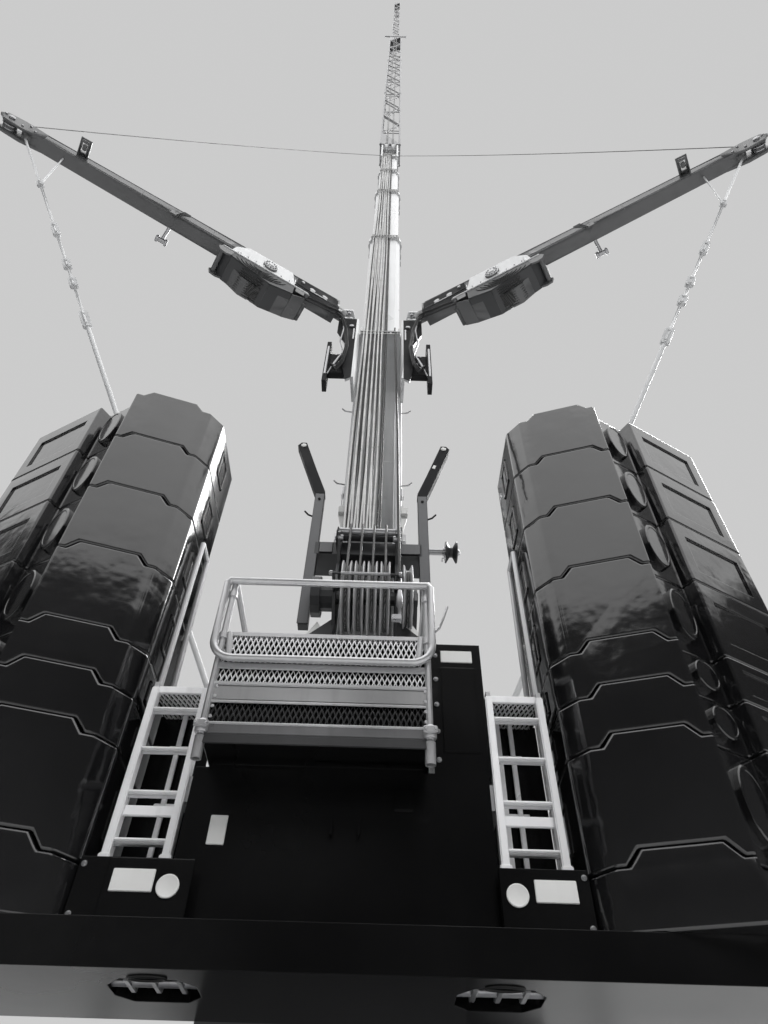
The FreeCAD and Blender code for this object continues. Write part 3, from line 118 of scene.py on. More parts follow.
for at, grey in ((0.30, 0.06), (0.60, 0.03), (0.725, 0.05), (0.75, 0.60), (0.90, 0.74), (1.0, 0.90)):
    sky_tone.color_ramp.elements.new(at).color = (grey, grey, grey, 1)
sky_tone.color_ramp.elements[0].color = (0.12, 0.12, 0.12, 1)
sky_gloss = add_node(sky, "ShaderNodeBackground", {"Color": sky_tone.outputs["Color"], "Strength": 1.75})
sky_ray = add_node(sky, "ShaderNodeLightPath").outputs
sky_shine = add_node(sky, "ShaderNodeMixShader",
                     {0: sky_ray["Is Glossy Ray"], 1: sky_fill.outputs[0], 2: sky_gloss.outputs[0]})
sky_either = add_node(sky, "ShaderNodeMath", {0: sky_ray["Is Camera Ray"], 1: sky_ray["Is Transmission Ray"]},
                      operation="MAXIMUM")
sky_mix = add_node(sky, "ShaderNodeMixShader",
                   {0: sky_either.outputs[0], 1: sky_shine.outputs[0], 2: sky_seen.outputs[0]})
sky.links.new(sky_mix.outputs[0], sky.nodes["World Output"].inputs["Surface"])

for name, place, aim, size, power in (
    ("key_softbox", (3.2, 3.5, 7.5), (0, -0.3, 1.2), 4.0, 640),
    ("rear_softbox", (-2.6, -4.8, 5.6), (0, -0.4, 1.2), 2.6, 60),
    ("side_softbox", (3.6, -3.4, 2.4), (0, -0.6, 0.6), 1.6, 20),
    ("tip_softbox", (2.4, -2.6, 9.5), (0, 0, 5.5), 3.0, 160),
    ("back_fill", (1.6, -5.6, 6.6), (0, -0.3, 2.0), 3.2, 420),
):
    lamp = bpy.data.lights.new(name, "AREA")
    lamp.shape, lamp.size, lamp.energy = "SQUARE", size, power
    holder = linked(name, lamp)
    holder.location = place
    holder.rotation_euler = (Vector(aim) - Vector(place)).to_track_quat("-Z", "Y").to_euler()
    holder.visible_glossy = name == "key_softbox"

floor_shape = bmesh.new()
bmesh.ops.create_circle(floor_shape, cap_ends=True, segments=96, radius=FLOOR_RADIUS)
floor_mesh = bpy.data.meshes.new("floor")
floor_shape.to_mesh(floor_mesh)
floor_finish = bpy.data.materials.new("floor_pale")
floor_finish.use_nodes = True
shader_of(floor_finish)["Base Color"].default_value = (0.50, 0.50, 0.50, 1)
shader_of(floor_finish)["Roughness"].default_value = 0.9
floor_mesh.materials.append(floor_finish)
linked("floor", floor_mesh)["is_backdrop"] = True


# Counterweight slabs: eight castings a side, painted gloss black, each locked by a tongue in the one above.
# Every casting has a narrow recess at its rear corner with a raised oval pad, left bare here.
SLEW = Matrix.Translation((0, -0.2334, 0)) @ Matrix.Scale(0.001, 4)
SLAB_FEET = (277, 309, 378, 413, 448, 517, 586, 655)
SLAB_HEIGHTS = (32, 69, 35, 35, 69, 69, 69, 69)
THIN_WALL = 0.0026
MERGE = 2e-5
UP, REAR, ACROSS = (0, 0, 1), (0, -1, 0), (1, 0, 0)


def painted(name, colour, rough, metal=0.0, coat=0.0, mottle=0.12, dirt=0.15, relief=0.1, grain=60.0, edge=0.0003,
            swell=0.0):
    """Finish of a rigid surface: uneven tone, dirt that runs down, fine relief and worn, softened edges."""
    finish = bpy.data.materials.new(name)
    finish.use_nodes = True
    net, shader = finish.node_tree, shader_of(finish)
    spot = add_node(net, "ShaderNodeTexCoord").outputs["Object"]

    def clouds(scale, detail, squeeze=(1, 1, 1)):
        turn = add_node(net, "ShaderNodeMapping", {"Scale": squeeze, "Vector": spot})
        noise = add_node(net, "ShaderNodeTexNoise", {"Scale": scale, "Detail": detail, "Vector": turn.outputs[0]})
        return noise.outputs["Fac"]

    def spread(source, low, high, to_low, to_high):
        limits = {"From Min": low, "From Max": high, "To Min": to_low, "To Max": to_high, "Value": source}
        return add_node(net, "ShaderNodeMapRange", limits).outputs["Result"]

    def blended(amount, first, second):
        return add_node(net, "ShaderNodeMix", {0: amount, 6: first, 7: second}, data_type="RGBA").outputs[2]

    def toned(change):
        return tuple(min(1.0, change(c)) for c in colour) + (1.0,)

    patches, runs, fine = clouds(grain * 0.15, 6.0), clouds(grain * 0.9, 5.0, (1, 1, 0.07)), clouds(grain * 5.0, 4.0)
    dark, light = toned(lambda c: c * (1 - mottle)), toned(lambda c: c * (1 + mottle) + 0.004)
    tone = blended(spread(patches, 0.35, 0.65, 0, 1), dark, light)
    tone = blended(spread(fine, 0.3, 0.7, 0, 0.35), tone, toned(lambda c: c))
    tone = blended(spread(runs, 0.52, 0.78, 0, dirt), tone, toned(lambda c: 0.35 * c + 0.02))
    net.links.new(tone, shader["Base Color"])
    net.links.new(spread(patches, 0.3, 0.7, max(0.02, rough * 0.75), min(1.0, rough * 1.3)), shader["Roughness"])
    shader["Metallic"].default_value = metal
    shader["Coat Weight"].default_value = coat
    shader["Coat Roughness"].default_value = 0.06
    under = add_node(net, "ShaderNodeBevel", {"Radius": edge}, samples=4).outputs[0]
    if swell:
        under = add_node(net, "ShaderNodeBump", {"Strength": swell, "Distance": 0.006,
                                                 "Height": clouds(grain * 0.7, 3.0), "Normal": under}).outputs[0]
    bump = add_node(net, "ShaderNodeBump", {"Strength": relief, "Distance": 0.0004, "Height": fine, "Normal": under})
    net.links.new(bump.outputs[0], shader["Normal"])
    return finish


def dress(node, finish):
    """Gives a CAD node its node-based finish in every one of its slots."""
    slots = nodes[node].data.materials
    for number in range(len(slots)):
        slots[number] = finish
    if not slots:
        slots.append(finish)


def circle(count):
    """Cosine and sine of evenly spread angles."""
    return [(cos(t), sin(t)) for t in (2 * pi * k / count for k in range(count))]


def skin(mesh, rings, closed=False):
    """Walls between rings of vertices, with a lid on each end of an open run."""
    for low, high in zip(rings, rings[1:] + (rings[:1] if closed else [])):
        for k in range(len(low)):
            m = (k + 1) % len(low)
            mesh.faces.new((low[k], low[m], high[m], high[k]))
    if not closed:
        mesh.faces.new(rings[0][::-1])
        mesh.faces.new(rings[-1])


def block(mesh, x, y, z, soft=0.0):
    """Block between pairs of limits, its edges softened."""
    made = bmesh.ops.create_cube(mesh, size=1.0)["verts"]
    for vert in made:
        vert.co = Vector([(min(limits) + max(limits)) / 2 + vert.co[k] * (max(limits) - min(limits))
                          for k, limits in enumerate((x, y, z))])
    if soft:
        edges = list({edge for vert in made for edge in vert.link_edges})
        bmesh.ops.bevel(mesh, geom=edges, offset=soft, segments=2, affect="EDGES", clamp_overlap=True)


def drawn(mesh, outline, depth):
    """Flat outline of points, drawn out by a vector."""
    skin(mesh, [[mesh.verts.new(Vector(p) + shift) for p in outline] for shift in (Vector((0, 0, 0)), Vector(depth))])


def tube(mesh, points, radius, sides=12, closed=False):
    """Round bar through points, mitred at its bends."""
    points = [Vector(p) for p in points]
    count = len(points)
    first = points[1] - points[0]
    side = first.orthogonal().normalized()
    rings = []
    for n, point in enumerate(points):
        before = (point - points[n - 1]).normalized() if n or closed else first.normalized()
        after = (points[(n + 1) % count] - point).normalized() if n + 1 < count or closed else before
        along = (before + after).normalized()
        side = (side - along * side.dot(along)).normalized()
        other = along.cross(side)
        stretch = min(1.6, 1 / max(0.3, along.dot(before)))
        reach = radius * (stretch if stretch > 1.05 else 1)
        rings.append([mesh.verts.new(point + (side * c + other * s) * reach) for c, s in circle(sides)])
    skin(mesh, rings, closed)


def lathe(mesh, outline, start, axis, sides=32, closed=False):
    """Turned piece: (distance along the axis, radius) pairs from a start point; a closed outline makes a ring."""
    axis = Vector(axis).normalized()
    side = axis.orthogonal().normalized()
    other = axis.cross(side)
    skin(mesh, [[mesh.verts.new(Vector(start) + axis * along + (side * c + other * s) * max(radius, 0.01))
                 for c, s in circle(sides)] for along, radius in outline], closed)


def settle(mesh, name, place, body, finish, crease=38):
    """Turns gathered faces into a finished piece that rides its body."""
    mesh.transform(place)
    bmesh.ops.recalc_face_normals(mesh, faces=mesh.faces)
    data = bpy.data.meshes.new(name)
    mesh.to_mesh(data)
    mesh.free()
    data.materials.clear()
    data.materials.append(finish)
    data.polygons.foreach_set("material_index", [0] * len(data.polygons))
    data.shade_smooth()
    data.set_sharp_from_angle(angle=radians(crease))
    piece = linked(name, data)
    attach(piece, body)
    return piece


def merged_copy(node):
    """Copy of a CAD node's shape with its doubled points merged."""
    mesh = bmesh.new()
    mesh.from_mesh(nodes[node].data)
    bmesh.ops.remove_doubles(mesh, verts=mesh.verts, dist=MERGE)
    return mesh


black_gloss = painted("weight_black", (0.0045, 0.0045, 0.005), 0.085, mottle=0.3, dirt=0.10, relief=0.05, grain=38,
                      edge=0.0006, swell=0.08)
shader_of(black_gloss)["IOR"].default_value = 1.9
plate_black = painted("plate_black", (0.002, 0.002, 0.0022), 0.24, mottle=0.3, dirt=0.06, relief=0.05, grain=38,
                      edge=0.0006)
shader_of(plate_black)["Specular IOR Level"].default_value = 0.3
dress("counterweight_stacks", black_gloss)
dress("counterweight_base", plate_black)

part = merged_copy("counterweight_stacks")
bmesh.ops.dissolve_limit(part, angle_limit=radians(2), verts=part.verts, edges=part.edges)
thin = {face for face in part.faces if face.calc_area() < THIN_WALL * max(e.calc_length() for e in face.edges)}
worn = [
    edge for edge in part.edges
    if len(edge.link_faces) == 2 and edge.calc_face_angle(0) > radians(20) and edge.calc_length() > 0.004
    and not thin.intersection(edge.link_faces)
]
bmesh.ops.bevel(part, geom=worn, offset=0.0017, segments=3, profile=0.5, affect="EDGES", clamp_overlap=False)
slabs = settle(part, "cast_slabs", Matrix.Identity(4), "superstructure", black_gloss, crease=13)
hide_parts("counterweight_stacks")

PAD_RUN, PAD_OUT = Vector((26, 14, 0)).normalized(), Vector((14, -26, 0)).normalized()
part = bmesh.new()
for side in (-1, 1):
    for foot, height in zip(SLAB_FEET, SLAB_HEIGHTS):
        middle = Vector((234.6, -523.6, foot + height * 0.52))
        wide, tall = 10.5, min(24.0, height * 0.34)
        rings = []
        for reach, lift in ((1.0, -1.0), (1.0, 2.4), (0.94, 3.0), (0.84, 3.0), (0.82, 2.6)):
            spots = [middle + PAD_RUN * (wide * reach * c) + Vector((0, 0, tall * reach * s)) + PAD_OUT * lift
                     for c, s in circle(24)]
            rings.append([part.verts.new((side * spot.x, spot.y, spot.z)) for spot in spots])
        skin(part, rings)
        part.faces.ensure_lookup_table()
        bmesh.ops.poke(part, faces=[part.faces[-1]])
settle(part, "slab_oval_pads", SLEW, "superstructure", black_gloss, crease=13)

part = bmesh.new()
for side in (-1, 1):
    for foot, height in zip(SLAB_FEET, SLAB_HEIGHTS):
        near, far, low, high = -488, -466, foot + height * 0.30, foot + height * 0.74
        for y0, y1, z0, z1 in ((near, far, low, low), (near, far, high, high), (near, near, low, high),
                               (far, far, low, high)):
            block(part, (side * 136.9, side * 138.6), (y0 - 1.3, y1 + 1.3), (z0 - 1.3, z1 + 1.3), 0.5)
        block(part, (side * 137.4, side * 138.6), (near + 7, near + 15), (low + 3, high - 3), 0.4)
settle(part, "slab_side_frames", SLEW, "superstructure", black_gloss, crease=13)


# Base plate and middle block: welded plate with eight-sided pockets underneath, a lashing bar across each one.
# The block carries a cabinet, small blank signs and a hand hole; bolts hold the foot panels at both sides.
sign_white = painted("sign_white", (0.62, 0.62, 0.61), 0.35, mottle=0.04, dirt=0.12, relief=0.02, grain=90)
steel_bright = painted("bolt_steel", (0.46, 0.46, 0.47), 0.3, metal=0.9, mottle=0.15, dirt=0.25, relief=0.1, grain=200)


def repeating_tree(name, spacing, points_kind, links, **settings):
    """Geometry nodes that put a shape on points, make the copies real and give them their finish."""
    tree = bpy.data.node_groups.new(name, "GeometryNodeTree")
    for label, kind in (("Geometry", "Geometry"), ("Shape", "Object"), ("Count", "Int"), spacing,
                        ("Finish", "Material")):
        tree.interface.new_socket(label, in_out="INPUT", socket_type="NodeSocket" + kind)
    tree.interface.new_socket("Geometry", in_out="OUTPUT", socket_type="NodeSocketGeometry")
    given = tree.nodes.new("NodeGroupInput").outputs
    points = add_node(tree, points_kind, {socket: given[label] for socket, label in links}, **settings)
    shape = add_node(tree, "GeometryNodeObjectInfo", {"Object": given["Shape"]})
    copies = add_node(tree, "GeometryNodeInstanceOnPoints",
                      {"Points": points.outputs[0], "Instance": shape.outputs["Geometry"]})
    if spacing[0] == "Radius":
        spot = add_node(tree, "GeometryNodeInputPosition").outputs[0]
        aim = add_node(tree, "FunctionNodeAlignEulerToVector", {"Vector": spot}, axis="X", pivot_axis="Z")
        tree.links.new(aim.outputs[0], copies.inputs["Rotation"])
    real = add_node(tree, "GeometryNodeRealizeInstances", {0: copies.outputs[0]})
    colour = add_node(tree, "GeometryNodeSetMaterial", {"Geometry": real.outputs[0], "Material": given["Finish"]})
    add_node(tree, "NodeGroupOutput", {0: colour.outputs[0]})
    return tree


row_tree = repeating_tree("row_of_shapes", ("Step", "Vector"), "GeometryNodeMeshLine",
                          (("Count", "Count"), ("Offset", "Step")), mode="OFFSET")
ring_tree = repeating_tree("ring_of_shapes", ("Radius", "Float"), "GeometryNodeMeshCircle",
                           (("Vertices", "Count"), ("Radius", "Radius")))


def repeated(mesh, tree, shape, place, **sizes):
    """Adds copies of one small shape to a piece, by a tree's named inputs; place turns the row or ring."""
    data = bpy.data.meshes.new("small_shape")
    shape.to_mesh(data)
    master, carrier = linked("small_shape", data), linked("copies", bpy.data.meshes.new("copies"))
    rule = carrier.modifiers.new("repeat", "NODES")
    rule.node_group = tree
    sizes.update(Shape=master, Finish=steel_bright)
    for item in tree.interface.items_tree:
        if item.in_out == "INPUT" and item.name in sizes:
            rule[item.identifier] = sizes[item.name]
    graph = bpy.context.evaluated_depsgraph_get()
    made = bpy.data.meshes.new_from_object(carrier.evaluated_get(graph), depsgraph=graph)
    made.transform(place)
    mesh.from_mesh(made)
    for thing in (carrier, master):
        bpy.data.objects.remove(thing)
    bpy.data.meshes.remove(made)
    shape.free()


def in_row(mesh, shape, place, count, step):
    """A row of copies along a step."""
    repeated(mesh, row_tree, shape, place, Count=count, Step=step)


def in_ring(mesh, shape, place, count, radius):
    """A ring of copies, each turned outward."""
    repeated(mesh, ring_tree, shape, place, Count=count, Radius=radius)


def bolt_head(radius, height):
    """Six-sided head on a washer, standing on the XY plane."""
    shape = bmesh.new()
    lathe(shape, ((-0.3, radius * 1.35), (height * 0.25, radius * 1.35)), (0, 0, 0), UP, 12)
    lathe(shape, ((height * 0.2, radius), (height * 0.85, radius), (height, radius * 0.8)), (0, 0, 0), UP, 6)
    return shape


def facing(at, out, up=UP):
    """Matrix whose Z points out of a surface and whose Y points up it."""
    out = Vector(out).normalized()
    side = Vector(up).cross(out).normalized()
    return Matrix.Translation(at) @ Matrix((side, out.cross(side), out)).transposed().to_4x4()


def blank_plate(mesh, at, wide, tall, thick=0.8, up=UP, is_round=False):
    """Bare sign plate that faces the rear, square or round with a thin raised rim."""
    plate = bmesh.new()
    if is_round:
        rim = ((-0.4, wide / 2), (thick, wide / 2), (thick * 1.25, wide / 2 - 0.5), (thick, wide / 2 - 1.0))
        lathe(plate, rim, (0, 0, 0), UP, 28)
    else:
        block(plate, (-wide / 2, wide / 2), (-tall / 2, tall / 2), (-0.4, thick), 0.3)
    plate.transform(facing(at, REAR, up))
    data = bpy.data.meshes.new("plate")
    plate.to_mesh(data)
    plate.free()
    mesh.from_mesh(data)
    bpy.data.meshes.remove(data)


part = bmesh.new()
for x, y, z, wide, tall, is_round in (
    (-106, -510.9, 299.8, 22.6, 11.6, False), (-86.8, -510.9, 297.2, 12.2, 12.2, True), (97.6, -510, 298, 12, 12, True),
    (118.4, -510, 300.4, 22.6, 11.6, False), (-69, -500, 332.5, 10, 17, False), (75, -500, 459, 22, 10, False),
):
    blank_plate(part, (x, y, z), wide, tall, is_round=is_round)
settle(part, "blank_signs", SLEW, "superstructure", sign_white)

part = bmesh.new()
for x in (-258, -86, 86, 258):
    tube(part, ((x - 24, -492, 259), (x + 24, -492, 259)), 2.6, 10)
    for dx in (-13, 0, 13):
        block(part, (x + dx - 1.6, x + dx + 1.6), (-502, -482), (256.5, 263.6), 0.5)
    lathe(part, ((0, 5.0), (3.0, 5.0), (3.6, 4.2)), (x + 14, -484, 260.5), UP, 12)
for side in (-1, 1):
    in_row(part, bolt_head(1.2, 1.2), facing((side * 134.5, -510, 283), REAR), 2, (0, 25, 0))
in_row(part, bolt_head(1.3, 1.4), facing((60, -500, 380), REAR), 5, (0, 20, 0))
settle(part, "counterweight_fittings", SLEW, "superstructure", steel_bright)

part = bmesh.new()
block(part, (63, 87), (-501.2, -499), (385, 450), 0.8)
block(part, (32, 44), (-501.4, -499), (346, 360), 0.8)
block(part, (-121, -75), (-510.9, -510.0), (278, 311.6), 0.3)
for x in (-4, 12):
    tube(part, ((x, -500, 330), (x, -504, 331), (x, -504, 338), (x, -500, 339)), 0.7, 8)
for x in (-3 * 86, -86, 86, 3 * 86):
    tube(part, [(x + 9 * c, -513 + 3.4 * s, 254.8) for c, s in circle(18)], 0.9, 6, closed=True)
settle(part, "block_trims", SLEW, "superstructure", plate_black)


# Walkway over the middle block: aluminium tube rails, planks and bands of pressed mesh, with a ladder at each side.
# The mesh is rows of diamond eyes, staggered; the gate's tubes turn in sleeves that are bolted to the planks.
aluminium = painted("walkway_aluminium", (0.66, 0.66, 0.67), 0.37, metal=0.85, mottle=0.10, dirt=0.2, relief=0.004,
                    grain=120)
ladder_alloy = painted("ladder_alloy", (0.86, 0.86, 0.87), 0.34, metal=0.25, mottle=0.06, dirt=0.2, relief=0.02,
                       grain=120)
# The next three finishes are darker copies of the walkway's aluminium: painted shade on the middle plank, the low mesh
# band and the low plank.
plank_alloy_painted_shade = painted("plank_alloy_painted_shade", (0.40, 0.40, 0.405), 0.38, metal=0.7, mottle=0.12, dirt=0.3, relief=0.02,
                      grain=120)
mesh_painted_shade = painted("mesh_painted_shade", (0.06, 0.06, 0.062), 0.36, metal=0.5, mottle=0.12, dirt=0.3, relief=0.02, grain=120)
shaded_alloy = painted("shaded_alloy", (0.20, 0.20, 0.205), 0.34, metal=0.7, mottle=0.12, dirt=0.3, relief=0.02,
                       grain=120)
dress("rear_access", aluminium)


def diamond_eye(wide, tall):
    """One eye of pressed mesh: four flat bars round a diamond, in the XY plane."""
    shape = bmesh.new()
    outer = [(wide / 2, 0), (0, tall / 2), (-wide / 2, 0), (0, -tall / 2)]
    inner = [(x * 0.72, y * 0.78) for x, y in outer]
    skin(shape, [[shape.verts.new((x, y, z)) for x, y in edge] for edge, z in
                 ((outer, -0.4), (outer, 0.4), (inner, 0.8), (inner, -0.4))], closed=True)
    return shape


def rear_mesh(mesh, foot, rows):
    """Band of pressed mesh behind the walkway, its rows staggered."""
    for row in range(rows):
        in_row(mesh, diamond_eye(3.5, 8.2), facing((-79 + row % 2 * 1.7, -534.0, foot + row * 4.0), REAR), 38,
               (3.4, 0, 0))


part = bmesh.new()
rear_mesh(part, 427.4, 5)
rear_mesh(part, 411.4, 2)
for side in (-1, 1):
    for row in range(7):
        at = (side * 112 + 15 - row % 2 * 1.6, -463 - row * 4.6, 425.8)
        in_row(part, diamond_eye(3.3, 9.0), facing(at, (0, 0, -1), (0, 1, 0)), 10, (3.2, 0, 0))
settle(part, "walkway_mesh", SLEW, "superstructure", ladder_alloy)
# The low mesh band with its lip, and the plates over the middle and low planks, take these darker finishes: painted
# shade.
part = bmesh.new()
rear_mesh(part, 383.2, 3)
block(part, (-83.8, 53.8), (-535.9, -534.8), (366.4, 372.4), 0.4)
settle(part, "walkway_low_mesh", SLEW, "superstructure", mesh_painted_shade)
for name, x, y, z, finish in (
    ("walkway_middle_plank", (-83.4, 53.4), (-535.7, -534.9), (395.6, 405.6), plank_alloy_painted_shade),
    ("walkway_low_plank", (-83.8, 53.8), (-535.9, -534.8), (372.6, 379.2), shaded_alloy),
):
    part = bmesh.new()
    block(part, x, y, z, 0.4)
    settle(part, name, SLEW, "superstructure", finish)

part = bmesh.new()
corners = [(-86.6, 488), (-84.6, 490.4), (53, 490.4), (55, 488), (55, 438)]
corners += [(41 + 14 * cos(t), 438.4 - 14 * sin(t)) for t in (pi * k / 16 for k in range(1, 9))]
corners += [(-72.6 - 14 * sin(t), 438.4 - 14 * cos(t)) for t in (pi * k / 16 for k in range(0, 9))]
tube(part, [(x, -538.8, z) for x, z in corners], 2.5, 16, closed=True)
for x in (-82, 52):
    for z in (444, 480):
        lathe(part, [(-2.4, 2.1), (-2.4, 3.0), (2.4, 3.0), (2.4, 2.1)], (x, -535, z), UP, 18, True)
    lathe(part, [(-4.0, 2.1), (-4.0, 3.4), (-2.6, 4.0), (2.6, 4.0), (4.0, 3.4), (4.0, 2.1)], (x, -535, 377), UP, 18,
          True)
    lathe(part, [(-7.5, 2.3), (-7.5, 3.2), (6.0, 3.2), (6.0, 2.3)], (x, -533.4, 365.5), (0, -0.1, 1), 18, True)
    block(part, (x - 4.2, x + 4.2), (-540.4, -538.6), (374.6, 379.4), 0.6)
    for dx in (-3, 3):
        lathe(part, ((0, 1.1), (1.2, 1.1), (1.6, 0.7)), (x + dx, -540.2, 377), REAR, 6)
for z in (384, 391, 398, 405):
    for x in (-81.5, 51.5):
        lathe(part, ((0, 1.2), (1.0, 1.2), (1.4, 0.8)), (x * 0.965, -535, z), REAR, 6)
block(part, (-83.6, 53.6), (-536.6, -534.6), (405.8, 408.6), 0.6)
block(part, (-81.5, 51.5), (-535.6, -534.2), (418.6, 423.6), 0.4)
block(part, (-83.6, 53.6), (-536.0, -534.6), (393.6, 395.4), 0.4)
block(part, (-83.6, 53.6), (-536.4, -534.6), (378.6, 380.4), 0.4)
tube(part, ((53, -536, 447), (60, -540, 452), (63, -541, 460), (66, -541, 470)), 0.8, 6)
settle(part, "walkway_gate", SLEW, "superstructure", aluminium)

part = bmesh.new()
for side in (-1, 1):
    for x in (95, 129):
        block(part, (side * x - 2.4, side * x + 2.4), (-500.2, -492), (313.4, 428), 0.7)
        block(part, (side * x - 3.4, side * x + 3.4), (-501, -491.4), (313.4, 318), 0.6)
    for z in (325, 353.5, 382, 410.5):
        block(part, (side * 97, side * 127), (-499.4, -493.4), (z + 0.4, z + 2.2), 0.5)
    block(part, (side * 97, side * 127), (-496.6, -494.6), (341, 347.4), 0.5)
    for x, half in ((103, 2.8), (113, 1.6)):
        block(part, (side * x - half, side * x + half), (-470.5, -467.5), (277.6, 427.4), 0.5)
    for z in (300, 360, 400):
        block(part, (side * 99, side * 119), (-469.5, -468), (z - 1.8, z + 1.8), 0.4)
    for y in (-495.4, -462):
        block(part, (side * 94.4, side * 131.4), (y - 1.2, y + 1.2), (425.2, 430.6), 0.4)
settle(part, "ladder_profiles", SLEW, "superstructure", ladder_alloy)

# Dark panels behind the upper mesh, under the floor and the ladder heads, beside the ladders and over a pale face, with
# dark discs in the open socket ends: painted shade.
part = bmesh.new()
block(part, (-80.5, 50.5), (-532.0, -531.2), (380.4, 444.6), 0.2)
block(part, (-83.2, 53.2), (-534.4, -456), (374.6, 375.8), 0.3)
block(part, (-80.6, 50.6), (-497.4, -496.2), (371.2, 374.8), 0.2)
for x in (-82, 52):
    lathe(part, ((0, 2.4), (0.8, 2.4), (1.0, 0.2)), (x, -532.8, 360.2), (0, -0.1, 1), 16)
for side in (-1, 1):
    block(part, (side * 95.4, side * 130.6), (-494, -461.4), (427.0, 427.8), 0.2)
    block(part, (side * 93, side * 132), (-464.4, -463.4), (277.6, 427), 0.2)
settle(part, "walkway_dark_panels", SLEW, "superstructure", plate_black)


# Superstructure: a welded frame on the slewing ring, with the boom's foot between its cheeks and a rail beside it.
# The hoist drum behind the foot holds one layer of wire rope; tubes, hinges and handles are bolted on.
upper_grey = painted("upper_grey", (0.085, 0.086, 0.09), 0.36, coat=0.15, mottle=0.12, dirt=0.25, relief=0.1, grain=70)
steel_dark = painted("drum_steel", (0.16, 0.16, 0.165), 0.36, metal=0.8, mottle=0.2, dirt=0.3, relief=0.15, grain=150)
dress("superstructure_frame", upper_grey)
dress("hoist_drum", steel_dark)


def wire_rope(name, colour):
    """Bright wire rope: strands run round it at a slant, with grease between them."""
    finish = painted(name, colour, 0.38, metal=0.7, mottle=0.15, dirt=0.3, relief=0.1, grain=200, edge=0.0002)
    net, shader = finish.node_tree, shader_of(finish)
    spot = add_node(net, "ShaderNodeTexCoord").outputs["Object"]
    turn = add_node(net, "ShaderNodeMapping", {"Rotation": (0.5, 0.5, 0.3), "Vector": spot})
    strands = add_node(net, "ShaderNodeTexWave", {"Scale": 150.0, "Distortion": 0.3, "Vector": turn.outputs[0]},
                       bands_direction="Z").outputs
    mix = add_node(net, "ShaderNodeMix",
                   {0: 0.75, 6: shader["Base Color"].links[0].from_socket, 7: strands["Color"]},
                   data_type="RGBA", blend_type="MULTIPLY")
    net.links.new(mix.outputs[2], shader["Base Color"])
    bump = add_node(net, "ShaderNodeBump", {"Strength": 0.5, "Distance": 0.0006, "Height": strands["Fac"]})
    net.links.new(bump.outputs[0], shader["Normal"])
    return finish


# Its grey is darkened to paint the shade on the ropes over the sheaves; the drum's layer and the lattice's ropes use it
# too.
rope_steel_painted_shade = wire_rope("rope_steel_painted_shade", (0.22, 0.22, 0.22))

part = bmesh.new()
turn_of_rope = bmesh.new()
tube(turn_of_rope, [(0, 25.3 * c, 25.3 * s) for c, s in circle(24)], 1.25, 6, closed=True)
in_row(part, turn_of_rope, Matrix.Translation((-48, -330, 290)), 39, (2.5, 0, 0))
for x in (-54, 50):
    lathe(part, ((-0.6, 29), (-0.6, 31.5), (4.6, 31.5), (4.6, 29)), (x, -330, 290), ACROSS, 32)
settle(part, "hoist_rope_layer", SLEW, "hoist_drum", rope_steel_painted_shade)

part = bmesh.new()
for y in (-300, -200, -100, 0):
    block(part, (136.5, 139.2), (y, y + 2), (226, 296), 0.5)
for y in (-215, -115, -15, 70):
    block(part, (138, 141.5), (y, y + 12), (258, 261), 1.0)
    for z in (232, 288):
        tube(part, ((139, y + 14, z - 4), (139, y + 14, z + 4)), 1.4, 8)
for y in range(-330, 30, 70):
    tube(part, ((131, y, 304), (131, y, 390)), 1.8, 8)
tube(part, ((131, -330, 390), (131, 20, 390), (131, 28, 382), (131, 28, 304)), 2.0, 10)
tube(part, ((131, -330, 348), (131, 20, 348)), 1.5, 8)
for side in (-1, 1):
    for y in (-290, -230, -170, -60, 0, 40):
        lathe(part, ((0, 2.4), (2.2, 2.4), (3.0, 1.6)), (side * 70.2, y, 300 if y < -100 else 268), (side, 0, 0), 6)
    lathe(part, ((0, 24), (2.5, 24), (3.5, 22), (3.5, 9), (6.0, 9), (6.5, 8)), (side * 73.5, -108, 375), (side, 0, 0),
          28)
    in_ring(part, bolt_head(1.8, 1.8), Matrix.Translation((side * 77, -108, 375)) @ Matrix.Rotation(side * pi / 2, 4,
                                                                                                    "Y"), 10, 17.0)
settle(part, "superstructure_trim", SLEW, "superstructure", aluminium)

part = bmesh.new()
for n, x in enumerate((-48, -41, -34)):
    tube(part, ((x, -60, 251), (x, -62, 268), (x, -72, 284 + n * 3), (x, -92, 296 + n * 3), (x, -104, 300 + n * 3)),
         2.2, 8)
for n, y in enumerate((-140, -128, -116)):
    tube(part, ((-76, y, 246), (-92, y, 250 + n), (-112, y + 6, 250), (-118, y + 22, 249)), 2.0, 8)
hose_black = painted("hose_rubber", (0.02, 0.02, 0.021), 0.55, mottle=0.2, dirt=0.3, relief=0.25, grain=160)
settle(part, "superstructure_hoses", SLEW, "superstructure", hose_black)

part = bmesh.new()
in_ring(part, bolt_head(2.2, 2.2), Matrix.Translation((0, 0, 213.6)) @ Matrix.Scale(-1, 4, UP), 44, 104.0)
settle(part, "slewing_bolts", SLEW, "superstructure", steel_dark)


# Crane driver's cab: pressed steel shell with bonded dark panes, a wiper, a grab rail and lamps at the roof's edge.
# The seat inside is a padded one on a pedestal, with an armrest console at each side.
cab_pale = painted("cab_pale", (0.56, 0.56, 0.555), 0.25, coat=0.5, mottle=0.06, dirt=0.14, relief=0.04, grain=60)
dress("crane_cab", cab_pale)
dress("crane_cab_door", cab_pale)
seal_black = painted("seal_black", (0.014, 0.014, 0.015), 0.6, mottle=0.2, dirt=0.25, relief=0.1, grain=120)
shader_of(seal_black)["Specular IOR Level"].default_value = 0.15

